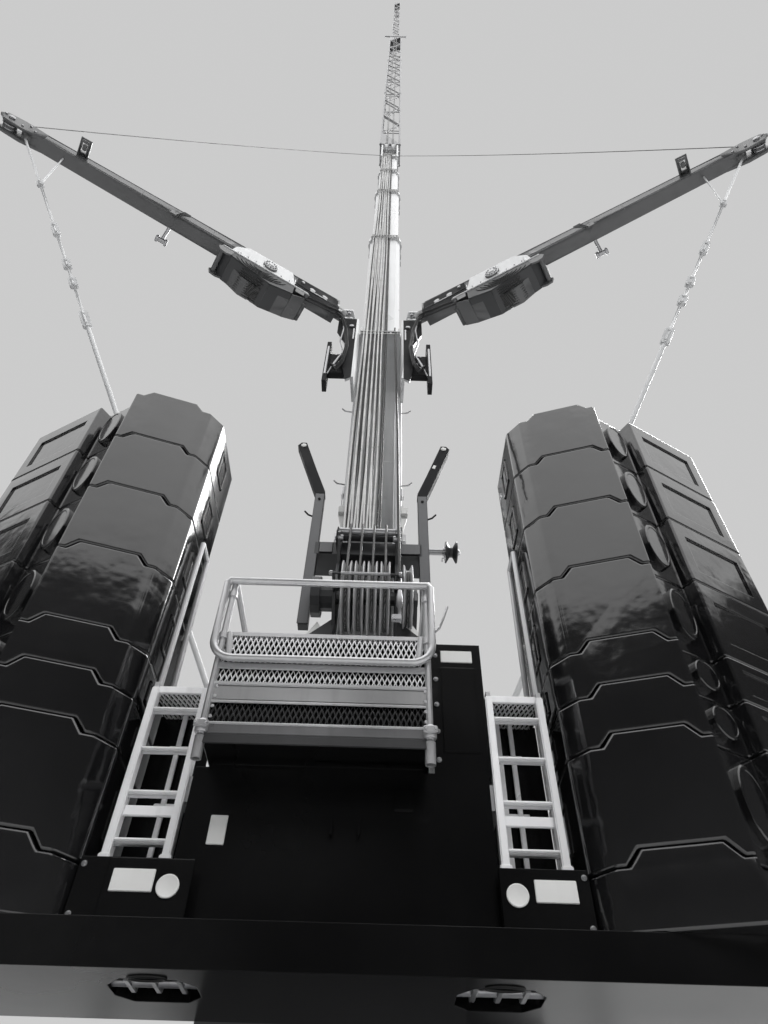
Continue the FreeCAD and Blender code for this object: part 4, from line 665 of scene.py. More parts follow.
tinted_glass = bpy.data.materials.new("tinted_glass")
tinted_glass.use_nodes = True
glass_net, glass_shader = tinted_glass.node_tree, shader_of(tinted_glass)
glass_spot = add_node(glass_net, "ShaderNodeTexCoord").outputs["Object"]
glass_haze = add_node(glass_net, "ShaderNodeTexNoise", {"Scale": 18.0, "Vector": glass_spot}).outputs["Fac"]
glass_range = add_node(glass_net, "ShaderNodeMapRange", {"To Min": 0.01, "To Max": 0.06, "Value": glass_haze})
glass_net.links.new(glass_range.outputs["Result"], glass_shader["Roughness"])
for key, value in (("Base Color", (0.22, 0.24, 0.24, 1)), ("Transmission Weight", 0.85), ("IOR", 1.45)):
    glass_shader[key].default_value = value

part = bmesh.new()
block(part, (-148, -88), (174.2, 175.4), (249, 300), 0.4)
drawn(part, ((-148, 174.6, 300), (-88, 174.6, 300), (-88, 153.5, 369), (-148, 153.5, 369)), (0, -1.2, 0))
block(part, (-142, -94), (79, 133), (381.6, 382.8), 0.3)
block(part, (-146, -90), (-6.6, -5.4), (301, 369), 0.3)
block(part, (-83.6, -82.4), (25, 145), (271, 371), 0.3)
block(part, (-153.6, -152.4), (9, 59), (271, 371), 0.3)
settle(part, "crane_cab_panes", SLEW, "crane_cab", tinted_glass)
part = bmesh.new()
block(part, (-157.6, -156.4), (79, 135), (271, 365), 0.3)
settle(part, "crane_door_pane", SLEW, "crane_cab_door", tinted_glass)

part = bmesh.new()
for z in (248, 300, 369):
    block(part, (-149, -87), (176.4 if z < 310 else 154.4, 178.4 if z < 310 else 156.4), (z - 1.4, z + 1.4), 0.5)
for x in (-149, -87):
    block(part, (x - 1.4, x + 1.4), (176.4, 178.4), (248, 300), 0.5)
tube(part, ((-118, 177, 262), (-132, 179.4, 286), (-134, 179.6, 296)), 0.9, 6)
block(part, (-136, -129), (179.0, 180.2), (268, 298), 0.3)
for x in (-143, -118, -93):
    block(part, (x - 7, x + 7), (146, 155), (384, 394), 1.6)
tube(part, ((-152.5, 156, 262), (-156, 156, 266), (-156, 156, 330), (-152.5, 156, 334)), 1.2, 8)
tube(part, ((-79.5, 6, 262), (-77.5, 6, 266), (-77.5, 6, 340), (-79.5, 6, 344)), 1.2, 8)
block(part, (-153, -83), (20, 160), (217.2, 220), 0.8)
settle(part, "crane_cab_trim", SLEW, "crane_cab", seal_black)
part = bmesh.new()
block(part, (-160.5, -158.5), (124, 134), (252, 256), 0.8)
tube(part, ((-159, 74, 262), (-161, 74, 266), (-161, 74, 352), (-159, 74, 356)), 1.1, 8)
for z in (232, 372):
    block(part, (-160.0, -158.6), (69, 145), (z - 1.5, z + 1.5), 0.4)
settle(part, "crane_door_trim", SLEW, "crane_cab_door", seal_black)

part = bmesh.new()
lathe(part, ((0, 12), (3, 12), (4, 6), (22, 6), (24, 13), (26, 13)), (-118, 60, 223.6), UP, 20)
for x in (-138, -98):
    block(part, (x - 4, x + 4), (52, 84), (264, 270), 1.5)
    block(part, (x - 2, x + 2), (50, 56), (244, 266), 0.8)
    lathe(part, ((0, 2.4), (2, 1.3), (9, 1.2), (11, 2.4), (14, 2.0)), (x, 78, 270), (0, 0.1, 1), 12)
block(part, (-138, -98), (118, 128), (224, 250), 2.0)
block(part, (-134, -102), (112, 126), (250, 262), 1.5)
settle(part, "crane_seat_frame", SLEW, "crane_cab", seal_black)


def cushion(name, body, middle, size, tilt, finish):
    """Seat pad: a crowned closed form with a sewn channel across it, drawn in between its corners."""
    part = bmesh.new()
    block(part, (-size[0] / 2, size[0] / 2), (-size[1] / 2, size[1] / 2), (-size[2] / 2, size[2] / 2), 0)
    bmesh.ops.subdivide_edges(part, edges=part.edges[:], cuts=9, use_grid_fill=True)
    for vert in part.verts:
        u, v, w = (2 * vert.co[k] / size[k] for k in range(3))
        crown = (1 - u ** 4) * (1 - v ** 4)
        pull = 1 - 0.05 * (1 - min(1, abs(u))) * abs(v) - 0.05 * (1 - min(1, abs(v))) * abs(u)
        channel = 0.16 * exp(-((v * size[1] / 2) / 2.0) ** 2) * crown
        vert.co = Vector((vert.co.x * pull, vert.co.y * pull, vert.co.z * (0.62 + 0.38 * crown - channel)))
    part.transform(Matrix.Translation(middle) @ Matrix.Rotation(tilt, 4, "X"))
    piece = settle(part, name, SLEW, body, finish, crease=80)
    return piece


seat_cloth = painted("seat_cloth", (0.035, 0.035, 0.038), 0.85, mottle=0.25, dirt=0.1, relief=0.5, grain=300,
                     edge=0.001)
cushion("crane_seat_pad", "crane_cab", (-118, 62, 254), (34, 36, 9), 0, seat_cloth)
cushion("crane_seat_back", "crane_cab", (-118, 38, 281), (34, 46, 9), radians(80), seat_cloth)


# Carrier: a box frame with a pressed deck of chequer plate, the engine's hood with grilles, lamps and a rear bumper.
# Lids, handles, steps and tie rings are bolted to it; the chequer's raised bars are part of its finish.
carrier_grey = painted("carrier_grey", (0.40, 0.405, 0.41), 0.36, coat=0.2, mottle=0.1, dirt=0.3, relief=0.08, grain=60)
deck_plate = painted("deck_plate", (0.24, 0.243, 0.25), 0.42, mottle=0.12, dirt=0.35, relief=0.1, grain=80)
plate_net = deck_plate.node_tree
plate_spot = add_node(plate_net, "ShaderNodeTexCoord").outputs["Object"]
plate_bars = []
for turn in (0.785, -0.785):
    place = add_node(plate_net, "ShaderNodeMapping",
                     {"Rotation": (0, 0, turn), "Scale": (110, 330, 1), "Vector": plate_spot})
    plate_bars.append(add_node(plate_net, "ShaderNodeTexBrick", {
        "Mortar Size": 0.035, "Scale": 1.0, "Color1": (0, 0, 0, 1), "Color2": (1, 1, 1, 1), "Vector": place.outputs[0],
    }).outputs["Fac"])
plate_both = add_node(plate_net, "ShaderNodeMath", {0: plate_bars[0], 1: plate_bars[1]}, operation="MAXIMUM")
plate_bump = add_node(plate_net, "ShaderNodeBump",
                      {"Strength": 0.6, "Distance": 0.0008, "Height": plate_both.outputs[0]})
plate_net.links.new(plate_bump.outputs[0], shader_of(deck_plate)["Normal"])
axle_black = painted("axle_iron", (0.03, 0.03, 0.032), 0.5, metal=0.3, mottle=0.3, dirt=0.4, relief=0.3, grain=120)
for name, finish in (("chassis_frame", axle_black), ("carrier_deck", deck_plate), ("axle_beams", axle_black),
                     ("engine_block", axle_black)):
    dress(name, finish)

part = bmesh.new()
for y in (612, 784):
    block(part, (-105.2, 105.2), (y - 3, y + 3), (176, 259), 0.8)
for x in (-70, 0, 70):
    block(part, (x - 32, x + 32), (612, 784), (261.5, 263.4), 0.8)
    for y in (640, 756):
        block(part, (x - 5, x + 5), (y - 2, y + 2), (263, 266.5), 0.7)
for side in (-1, 1):
    block(part, (side * 103.5, side * 105.4), (618, 778), (178, 190), 0.5)
    for y in (640, 700, 756):
        block(part, (side * 105, side * 107.2), (y - 6, y + 6), (193, 196), 0.6)
tube(part, ((-112, 600, 176), (-112, 600, 244), (-112, 596, 250)), 5.5, 16)
lathe(part, ((0, 8), (3, 9), (46, 9), (49, 8)), (-112, 600, 186), UP, 20)
settle(part, "engine_hood_panels", SLEW, "carrier", carrier_grey)

part = bmesh.new()
for side in (-1, 1):
    for y0, y1 in ((246, 330), (338, 426), (520, 586)):
        block(part, (side * 100, side * 146), (y0, y1), (174.2, 205), 2.0)
        block(part, (side * 98.5, side * 147.2), (y0 - 1.2, y1 + 1.2), (202, 208), 1.0)
        for y in (y0 + 16, y1 - 16):
            block(part, (side * 146, side * 149.0), (y - 3, y + 3), (194, 204), 0.7)
    block(part, (side * 96, side * 148), (796, 800), (150, 180), 0.6)
    for y in range(-560, 590, 50):
        block(part, (side * 147.5, side * 149.9), (y - 3, y + 3), (163.5, 171.5), 0.8)
settle(part, "deck_lockers", SLEW, "carrier", carrier_grey)

part = bmesh.new()
block(part, (-148, 148), (-578, -574), (146, 166), 1.0)
for side in (-1, 1):
    block(part, (side * 92, side * 142), (-577.9, -572), (122, 142), 2.0)
    tube(part, [(side * x, -575.6, z) for x, z in ((60, 92), (60, 104), (52, 110), (44, 104), (44, 92))], 2.2, 8)
block(part, (-16, 16), (-577.9, -570), (112, 140), 2.5)
for z in (102, 114, 126):
    for side in (-1, 1):
        tube(part, ((side * 100, -574, z - 40), (side * 100, -576, z - 42), (side * 132, -576, z - 42),
                    (side * 132, -574, z - 40)), 1.5, 8)
settle(part, "rear_bumper_gear", SLEW, "carrier", seal_black)

lamp_glass = painted("lamp_lens", (0.55, 0.55, 0.55), 0.08, coat=0.8, mottle=0.1, dirt=0.05, relief=0.5, grain=400)
part = bmesh.new()
for side in (-1, 1):
    for x in (98, 110, 122, 134):
        lathe(part, ((0, 4.6), (1.6, 4.6), (2.6, 3.4), (3.0, 0.1)), (side * x, -575.2, 132), REAR, 20)
    block(part, (side * 78, side * 106), (1041.6, 1044.4), (102, 122), 1.2)
    for x in (84, 100):
        lathe(part, ((0, 7), (1.2, 6.6), (1.8, 4), (2.0, 0.1)), (side * x, 1042.8, 112), (0, 1, 0), 24)
    for y in (-500, -200, 100, 400, 700):
        block(part, (side * 149.2, side * 149.95), (y - 5, y + 5), (167, 171), 0.3)
    for x in (40, 100):
        block(part, (side * (x - 5), side * (x + 5)), (990, 999), (286, 290), 1.2)
settle(part, "carrier_lenses", SLEW, "carrier", lamp_glass)


# Driver's cab: a wide steel shell over the front axle with bonded panes, mirrors on arms, wipers, a bumper and steps.
# Two seats stand inside on frames, with the steering wheel and the dashboard ahead of the left one.
for name in ("driver_cab", "driver_door_left", "driver_door_right"):
    dress(name, cab_pale)
part = bmesh.new()
drawn(part, ((-109, 1041.8, 167), (109, 1041.8, 167), (101, 1024.8, 267), (-101, 1024.8, 267)), (0, -1.5, 0))
block(part, (-79, 79), (803.4, 804.8), (201, 261), 0.3)
for side in (-1, 1):
    block(part, (side * 129.2, side * 130.4), (823, 881), (201, 261), 0.3)
settle(part, "driver_cab_panes", SLEW, "carrier", tinted_glass)
for side, word in ((-1, "left"), (1, "right")):
    part = bmesh.new()
    block(part, (side * 129.2, side * 130.4), (916, 981), (177, 261), 0.3)
    settle(part, "driver_door_pane_" + word, SLEW, "driver_door_" + word, tinted_glass)
    part = bmesh.new()
    block(part, (side * 131.6, side * 133.4), (907, 991), (108, 116), 0.7)
    block(part, (side * 133.5, side * 135.2), (912, 928), (156, 164), 0.7)
    for z in (173.5, 263.5):
        block(part, (side * 131.6, side * 132.6), (914, 983), (z - 1.2, z + 1.2), 0.4)
    for y in (914, 983):
        block(part, (side * 131.6, side * 132.6), (y - 1.2, y + 1.2), (173.5, 263.5), 0.4)
    settle(part, "driver_door_trim_" + word, SLEW, "driver_door_" + word, seal_black)

part = bmesh.new()
for z, y, half in ((166, 1043.4, 111), (268, 1026.3, 103)):
    block(part, (-half, half), (y - 1.5, y + 0.9), (z - 1.6, z + 1.6), 0.5)
for side in (-1, 1):
    tube(part, ((side * 110, 1043.0, 166), (side * 102, 1025.9, 268)), 1.5, 8)
    tube(part, ((side * 20, 1043.5, 168), (side * 52, 1041.5, 184), (side * 70, 1038.5, 200)), 1.1, 6)
    tube(part, ((side * 34, 1042.0, 184), (side * 96, 1034.5, 228)), 1.0, 6)
    tube(part, ((side * 126, 1000, 268), (side * 146, 1008, 266), (side * 148, 1010, 250)), 1.6, 8)
    block(part, (side * 139, side * 149.5), (1006, 1012), (212, 252), 2.5)
    block(part, (side * 139, side * 149.5), (1006, 1012), (192, 208), 2.5)
    for z in (56, 78):
        block(part, (side * 124, side * 133), (916, 980), (z - 2, z + 2), 0.8)
    for y in (918, 978):
        block(part, (side * 127, side * 131), (y - 1.5, y + 1.5), (56, 104), 0.6)
for z in (102.5, 112.5, 122.5, 132.5, 142.5):
    block(part, (-59, 59), (1042.4, 1044.2), (z - 1.5, z + 1.5), 0.5)
block(part, (-126, 126), (1034, 1044.6), (74, 92), 2.5)
block(part, (-90, 90), (1041, 1044.8), (50, 70), 1.5)
for x in (-24, 24):
    tube(part, ((x, 1036, 60), (x, 1044, 60)), 3.0, 12)
settle(part, "driver_cab_trim", SLEW, "carrier", seal_black)

part = bmesh.new()
block(part, (-122, 122), (1004, 1032), (146, 162), 5.0)
block(part, (-92, -36), (996, 1012), (156, 170), 4.0)
tube(part, ((-64, 1004, 160), (-64, 978, 172)), 2.4, 10)
tube(part, [(-64 + 15 * c, 976 + 5 * s, 174 + 14 * s) for c, s in circle(28)], 1.4, 8, closed=True)
for x in (-64, 64):
    lathe(part, ((0, 15), (4, 15), (5, 7), (16, 7), (18, 16), (21, 16)), (x, 926, 108), UP, 20)
settle(part, "dashboard_and_seat_frames", SLEW, "carrier", seal_black)
for x, word in ((-64, "left"), (64, "right")):
    cushion("driver_seat_pad_" + word, "carrier", (x, 930, 134), (46, 46, 11), 0, seat_cloth)
    cushion("driver_seat_back_" + word, "carrier", (x, 903, 168), (44, 58, 11), radians(80), seat_cloth)


# Axles and wheels: forged beams with a hydraulic strut at each side, cast hubs, steel rims and heavy block tread.
# A wheel is one tyre on a dished rim with ten nuts; every one of the fourteen is the same.
tyre_rubber = painted("tyre_rubber", (0.020, 0.020, 0.020), 0.75, mottle=0.2, dirt=0.5, relief=0.4, grain=140,
                      edge=0.001)
rim_grey = painted("rim_grey", (0.42, 0.42, 0.425), 0.34, coat=0.2, mottle=0.12, dirt=0.4, relief=0.1, grain=90)
AXLE_PLACES = (790, 625, 365, 200, 35, -130, -295)
TYRE_SECTION = (
    (-18.5, 40), (-20.6, 44), (-21.9, 52), (-21.9, 60), (-20.5, 67), (-17.5, 71.2), (-12, 72.4), (-4, 72.8), (4, 72.8),
    (12, 72.4), (17.5, 71.2), (20.5, 67), (21.9, 60), (21.9, 52), (20.6, 44), (18.5, 40), (14, 38.5), (-14, 38.5),
)
RIM_SECTION = (
    (-18.5, 41.5), (-19.5, 41), (-18, 37.5), (-12, 36), (-8, 34), (-6, 17), (-7, 15), (-7, 8.7), (9.2, 8.7),
    (9.2, 0.02), (14, 0.02), (14, 9), (12.5, 12), (7, 13.5), (6, 17), (3, 19), (3, 27), (6, 33), (12, 36), (18, 37.5),
    (19.5, 41), (18.5, 41.5),
)
for index, y in enumerate(AXLE_PLACES, 1):
    for side, word in ((-1, "left"), (1, "right")):
        name = "%d_%s" % (index, word)
        spot = (side * 128, y, 84.5)
        turned = Matrix.Translation(spot) @ Matrix.Rotation(side * pi / 2, 4, "Y")
        part = bmesh.new()
        lathe(part, TYRE_SECTION, spot, (side, 0, 0), 48, True)
        for row, shift in ((-13.5, 0.0), (0.0, 0.5), (13.5, 0.0)):
            lug = bmesh.new()
            block(lug, (-0.8, 1.35 if row == 0 else 0.9), (-3.9, 3.9), (row - 5.2, row + 5.2), 0)
            for vert in lug.verts:
                vert.co.y += vert.co.z * 0.14
            in_ring(part, lug, turned @ Matrix.Rotation(shift * 2 * pi / 40, 4, "Z"), 40, 72.6)
        covered = settle(part, "tyre_" + name, SLEW, "wheel_" + name, tyre_rubber, crease=32)
        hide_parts("wheel_" + name)
        part = bmesh.new()
        lathe(part, RIM_SECTION, spot, (side, 0, 0), 40, True)
        in_ring(part, bolt_head(1.7, 2.6), Matrix.Translation((side * 3, 0, 0)) @ turned, 10, 22.5)
        settle(part, "rim_" + name, SLEW, "wheel_" + name, rim_grey, crease=32)
for name in nodes:
    if name.startswith("knuckle_"):
        dress(name, axle_black)

part = bmesh.new()
for y in AXLE_PLACES:
    for side in (-1, 1):
        lathe(part, ((0, 5.5), (38, 5.5), (39, 4.5)), (side * 62, y, 122), UP, 16)
        lathe(part, ((0, 4.5), (4, 3.2), (30, 3.2)), (side * 62, y, 94), UP, 12)
    tube(part, ((-58, y - 12, 90), (58, y - 12, 90)), 2.2, 8)
    lathe(part, ((-13, 6), (-11, 14), (0, 17), (11, 14), (13, 6)), (0, y, 84.5), (0, 1, 0), 20)
settle(part, "axle_struts", SLEW, "carrier", axle_black)
part = bmesh.new()
lathe(part, ((0, 4.2), (1090, 4.2)), (0, -300, 84.5), (0, 1, 0), 14)
settle(part, "drive_shaft", SLEW, "carrier", steel_dark)


# Outriggers: square beams that slide out of boxes across the frame, with an upright jack and a round pad at each end.
# A cap, a lamp and a valve block are bolted on each beam's end; the pad has ribs and a ball cup.
for end, centre in (("front", 492.5), ("rear", -427.0)):
    for side, word in ((-1, "left"), (1, "right")):
        y = centre + side * 19.0
        x = side * 412
        name = "%s_%s" % (end, word)
        dress("outrigger_beam_" + name, carrier_grey)
        dress("outrigger_jack_" + name, steel_dark)
        part = bmesh.new()
        lathe(part, ((0, 16.6), (2.5, 17.6), (6, 17.6), (8, 14), (8.6, 6)), (x, y, 165), UP, 28)
        lathe(part, ((0, 17.3), (5, 17.3), (6, 16.4)), (x, y, 86), UP, 28)
        block(part, (side * 428, side * 438), (y - 9, y + 9), (112, 142), 1.4)
        tube(part, ((side * 433, y, 141), (side * 434, y, 152), (side * 431, y, 160), (side * 424, y, 166)), 1.4, 8)
        for z in (118, 136):
            lathe(part, ((0, 2.6), (1.6, 2.6), (2.4, 1.6)), (side * 438, y, z), (side, 0, 0), 6)
        settle(part, "beam_fittings_" + name, SLEW, "outrigger_beam_" + name, carrier_grey)
        part = bmesh.new()
        rib = bmesh.new()
        drawn(rib, ((-20, -1, 0.5), (-20, -1, 7), (8, -1, 0.5)), (0, 2, 0))
        in_ring(part, rib, Matrix.Translation((x, y, 6.8)), 8, 24.0)
        lathe(part, ((0, 33.8), (1.2, 33.8), (1.2, 31), (0.4, 30.5)), (x, y, 6.6), UP, 36)
        settle(part, "pad_ribs_" + name, SLEW, "outrigger_jack_" + name, steel_dark)


# Boom: five nested box sections of bent plate, each with a guide collar that has slots on its back for the ropes.
# Wear pads are bolted round each collar, and small junction boxes and hooks are fixed to the base section's sides.
BOOM = SLEW @ Matrix.Translation((0, -108, 375)) @ Matrix.Rotation(radians(-1.0), 4, "X")
FIRST_COLLAR, COLLAR_RUN = 1255, 1560.0
ROPES_AT_COLLAR, ROPES_AT_ROLLER, ROPES_RISE, ROPE_FOOT = -65.0, -116.0, 16.0, 512
COLLARS = (("boom", FIRST_COLLAR, 0), ("boom_section_1", 1875, 1), ("boom_section_2", 2335, 2),
           ("boom_section_3", 2595, 3),
           ("boom_section_4", 2815, 4))
boom_grey = painted("boom_grey", (0.62, 0.625, 0.63), 0.30, coat=0.25, mottle=0.08, dirt=0.30, relief=0.05, grain=40,
                    swell=0.05)
rope_bright = painted("rope_bright", (0.50, 0.50, 0.495), 0.36, metal=0.4, mottle=0.2, dirt=0.25, relief=0.2,
                      grain=240, edge=0.0002)
for name in ("boom_base", "boom_section_1", "boom_section_2", "boom_section_3", "boom_section_4"):
    dress(name, boom_grey)

for body, top, step in COLLARS:
    half_wide, half_deep = 47.5 - 4.5 * step, 58.0 - 4.5 * step
    back = -(half_deep + 4)
    # The dark blocks along the collar's back paint the shade in its rope slots; the blocks at its sides are black wear
    # pads.
    part = bmesh.new()
    for n in range(7):
        x = (n - 3) * (half_wide * 1.45 / 7)
        block(part, (x - 2.1, x + 2.1), (back - 1.0, back + 2), (top - 12, top - 4.5), 0.8)
    for side in (-1, 1):
        for y in (-half_deep * 0.55, 0, half_deep * 0.4):
            block(part, (side * (half_wide + 3.4), side * (half_wide + 5.0)), (y - 6, y + 6), (top - 12, top - 2), 0.7)
    settle(part, "collar_slots_%d" % step, BOOM, body, seal_black)
    part = bmesh.new()
    for z in (top - 13.4, top - 0.6):
        block(part, (-half_wide * 0.78, half_wide * 0.78), (back - 1.6, back + 1), (z - 1.0, z + 1.0), 0.5)
    for n in range(8):
        x = (n - 3.5) * (half_wide * 1.45 / 7)
        block(part, (x - 0.8, x + 0.8), (back - 1.4, back + 1), (top - 13, top - 1), 0.3)
    for side in (-1, 1):
        pad = facing((side * (half_wide + 5.0), -half_deep * 0.55, top - 7), (side, 0, 0))
        in_row(part, bolt_head(1.3, 1.3), pad @ Matrix.Translation((-3.6, 0, 0)), 3, (3.6, 0, 0))
    settle(part, "collar_rims_%d" % step, BOOM, body, boom_grey)
    front = ROPES_AT_COLLAR + ROPES_RISE * max(0.0, (top - FIRST_COLLAR) / COLLAR_RUN) - 2.6
    part = bmesh.new()
    shift = 14 if step == 0 else 0
    for z in (top - 12.5 - shift, top - 1.5 - shift):
        block(part, (-half_wide * 0.92, half_wide * 0.92), (front - 1.6, front), (z - 1.5, z + 1.5), 0.6)
    for side in (-1, 1):
        block(part, (side * half_wide * 0.84, side * half_wide * 0.94), (front - 1.6, -half_deep + 2), (top - 14, top),
              0.8)
    settle(part, "collar_comb_%d" % step, BOOM, body, rope_bright)
    # Dark blocks in the openings of the comb: painted shade.
    part = bmesh.new()
    for n in range(9):
        x = (n - 4) * half_wide * 0.19
        block(part, (x - 1.5 + 0.12 * step, x + 1.5 - 0.12 * step), (front - 1.2, front - 0.2),
              (top - 11.2 - shift, top - 2.8 - shift), 0.4)
    settle(part, "collar_gaps_%d" % step, BOOM, body, seal_black)

# Dark plates laid over the hanger brackets, which make them dark.
part = bmesh.new()
for side in (-1, 1):
    plan = ((50.4, 958), (62, 948), (68.6, 990), (70.6, 1092), (89.2, 1140), (89.2, 1206), (50.4, 1206))
    cover = [(side * x, -111.4, z) for x, z in plan]
    drawn(part, cover, (0, -0.9, 0))
    block(part, (side * 51, side * 98.4), (-107.9, -94.6), (978.6, 1053.4), 0.4)
    block(part, (side * 96.4, side * 104.8), (-115.8, -90.4), (935.4, 1090.6), 0.5)
    drawn(part, [(side * 50.2, y, z) for y, z in ((-58, 1000), (-110, 962), (-110, 1206), (-58, 1206))],
          (side * 0.8, 0, 0))
settle(part, "hanger_guards", BOOM, "boom", seal_black)

part = bmesh.new()
for side in (-1, 1):
    for x, y, z, radius in ((74, -113.6, 1010, 4.4), (84, -113.6, 1040, 3.0), (66, -113.6, 1090, 3.4),
                            (60, -113.6, 1170, 5.0), (78, -113.6, 1176, 3.0)):
        lathe(part, ((0, radius), (2.4, radius), (3.2, radius * 0.7)), (side * x, y + 1.6, z), REAR, 14)
    lathe(part, ((0, 3.4), (34, 3.4), (34.4, 2.0), (58, 2.0)), (side * 88, -112, 1000), (side * -0.3, 0, 1), 12)
    tube(part, [(side * x, -116, z) for x,
                z in ((96, 960), (90, 985), (74, 1000), (70, 1040), (80, 1090), (76, 1150), (82, 1200))], 1.6, 8)
    block(part, (side * 52.4, side * 56.4), (-113.2, -112), (1112, 1160), 0.6)
    block(part, (side * 99, side * 103), (-117, -115.4), (960, 1070), 0.5)
settle(part, "hanger_fittings", BOOM, "boom", steel_bright)

part = bmesh.new()
for side in (-1, 1):
    for k, bow in enumerate((0, 6, 12)):
        tube(part, [(side * (x - bow * 0.4), y - bow * 0.3, z - bow) for x, y, z in
                            ((96, -128, 1204), (84, -132, 1180), (72, -130, 1130), (66, -122, 1070), (72, -118, 1010),
                             (84, -116, 980),
                             (92, -116, 1000))], 2.0 - 0.3 * k, 8)
settle(part, "hanger_hoses", BOOM, "boom", hose_black)

part = bmesh.new()
for side in (-1, 1):
    block(part, (side * 47.2, side * 56), (-50, -38), (566, 584), 1.2)
    tube(part, ((side * 47, -40, 620), (side * 50, -48, 660), (side * 50, -48, 700)), 0.9, 6)
    block(part, (side * 47.2, side * 53), (-40, -28), (690, 712), 1.4)
    for z in (704, 930):
        tube(part, ((side * 47, -50, z), (side * 60, -52, z), (side * 66, -52, z + 8)), 1.3, 8)
    for z in range(300, 1180, 110):
        block(part, (side * 47.2, side * 49.6), (6, 16), (z - 3, z + 3), 0.8)
    tube(part, [(side * 49.6, 11, z) for z in (120, 400, 800, 1190)], 1.6, 8)
    tube(part, [(side * 49.4, 20, z) for z in (120, 400, 800, 1190)], 1.1, 8)
settle(part, "boom_side_fittings", BOOM, "boom", aluminium)

part = bmesh.new()
for side in (-1, 1):
    tube(part, ((side * 35.4, -58.1, 110), (side * 35.4, -58.1, 1238)), 0.7, 6)
    tube(part, ((side * 47.6, 21.5, 110), (side * 47.6, 21.5, 1238)), 0.7, 6)
for z in (150, 330, 760):
    tube(part, ((-35, -58.1, z), (35, -58.1, z)), 0.7, 6)
settle(part, "boom_weld_lines", BOOM, "boom", boom_grey)


# Hoist and guy ropes on the boom's back: bright wire ropes, and dark ones between them, in the collars' slots.
# The dark ones are partly greased rope and partly painted shade between the bright ropes.
# Each section carries its own stretch, long enough to overlap the next when the boom is run out.
rope_dark = wire_rope("rope_dark", (0.10, 0.10, 0.10))
BRIGHT_LANES = ((-36, -38), (-31, -29), (-26, -30.5), (-22, -19), (-17.5, -22.5), (-13, -9.5), (-8.5, -13), (-4, -2),
                (1, -5), (5, 5.5))
SHADE_AND_GREASE_LANES = ((-33.5, -34), (-28.5, -25), (-19.8, -26), (-15, -16), (-10.8, -6), (-1.5, 2.5), (11, 11), (15.5, 14.5))
SPANS = (("boom", ROPE_FOOT, 1450, 0), ("boom_section_1", 1110, 1880, 1), ("boom_section_2", 1625, 2340, 2),
         ("boom_section_3", 2205, 2600, 3), ("boom_section_4", 2490, 2830, 4))


def lane_spot(lane, z, deep):
    """A rope's place at a height on the boom: it starts over its roller and nears the boom at the first collar."""
    rise = min(1.0, max(0.0, (z - ROPE_FOOT) / (FIRST_COLLAR - ROPE_FOOT)))
    reach = max(0.0, (z - FIRST_COLLAR) / COLLAR_RUN)
    y = ROPES_AT_ROLLER + deep + (ROPES_AT_COLLAR - ROPES_AT_ROLLER) * rise + ROPES_RISE * reach
    return Vector(((lane[0] + (lane[1] - lane[0]) * rise) * (1 - 0.34 * reach), y, z))


for body, low_z, high_z, step in SPANS:
    for lanes, finish, word, deep, radius in ((BRIGHT_LANES, rope_bright, "bright", 0.0, 1.7),
                                              (SHADE_AND_GREASE_LANES, rope_dark, "dark", 1.5, 1.6)):
        part = bmesh.new()
        for n, lane in enumerate(lanes):
            sway = 1.6 if n % 2 else -1.4
            points = []
            for k in range(7):
                spot = lane_spot(lane, low_z + (high_z - low_z) * k / 6, deep)
                spot.x += sway * sin(pi * (spot.z - ROPE_FOOT) / 480.0) * (1 if lane[0] < 8 else 0)
                points.append(spot)
            tube(part, points, radius * (1 - 0.06 * step), 6)
        settle(part, "back_ropes_%s_%d" % (word, step), BOOM, body, finish)


# Sheave group on the boom's back: turned pulleys with pale flanges between dark side plates, two rollers above them,
# and a guard horn at each side whose upper arm has a reflector. Ropes come down over the rollers into the grooves.
sheave_grey = painted("sheave_frame", (0.035, 0.036, 0.038), 0.38, mottle=0.15, dirt=0.3, relief=0.12, grain=110)
sheave_pale = painted("sheave_flange", (0.46, 0.46, 0.465), 0.32, metal=0.4, mottle=0.15, dirt=0.35, relief=0.1,
                      grain=120)
SHEAVE_Y, SHEAVE_Z = -109, 392
SHEAVES = ((-24.75, 48), (-8.25, 48), (8.25, 48), (24.75, 48), (54, 44))
dress("rear_sheaves", sheave_grey)
part = bmesh.new()
for x, radius in SHEAVES:
    section = [(-6.7, radius - 22), (-6.7, radius - 2), (-6.0, radius + 0.8), (-4.6, radius + 0.8),
               (-1.7, radius - 6.4), (1.7, radius - 6.4),
               (4.6, radius + 0.8), (6.0, radius + 0.8), (6.7, radius - 2), (6.7, radius - 22), (4.5, radius - 23),
               (-4.5, radius - 23)]
    lathe(part, section, (x, SHEAVE_Y, SHEAVE_Z), ACROSS, 56, True)
settle(part, "sheave_rings", BOOM, "boom", sheave_pale)
part = bmesh.new()
section = [(-8.4, 9), (-8.4, 15.4), (-6.8, 15.8), (-2.0, 7.4), (2.0, 7.4), (6.8, 15.8), (8.4, 15.4), (8.4, 9),
           (2, 4.8), (-2, 4.8)]
lathe(part, section, (118, -95, 498), ACROSS, 28, True)
settle(part, "side_guide_pulley", BOOM, "boom", sheave_grey)


def sheave_arc(x, radius, angles):
    """Points round the sheaves' shaft at a radius, by angles from the rear."""
    return [(x, SHEAVE_Y - radius * cos(radians(a)), SHEAVE_Z + radius * sin(radians(a))) for a in angles]


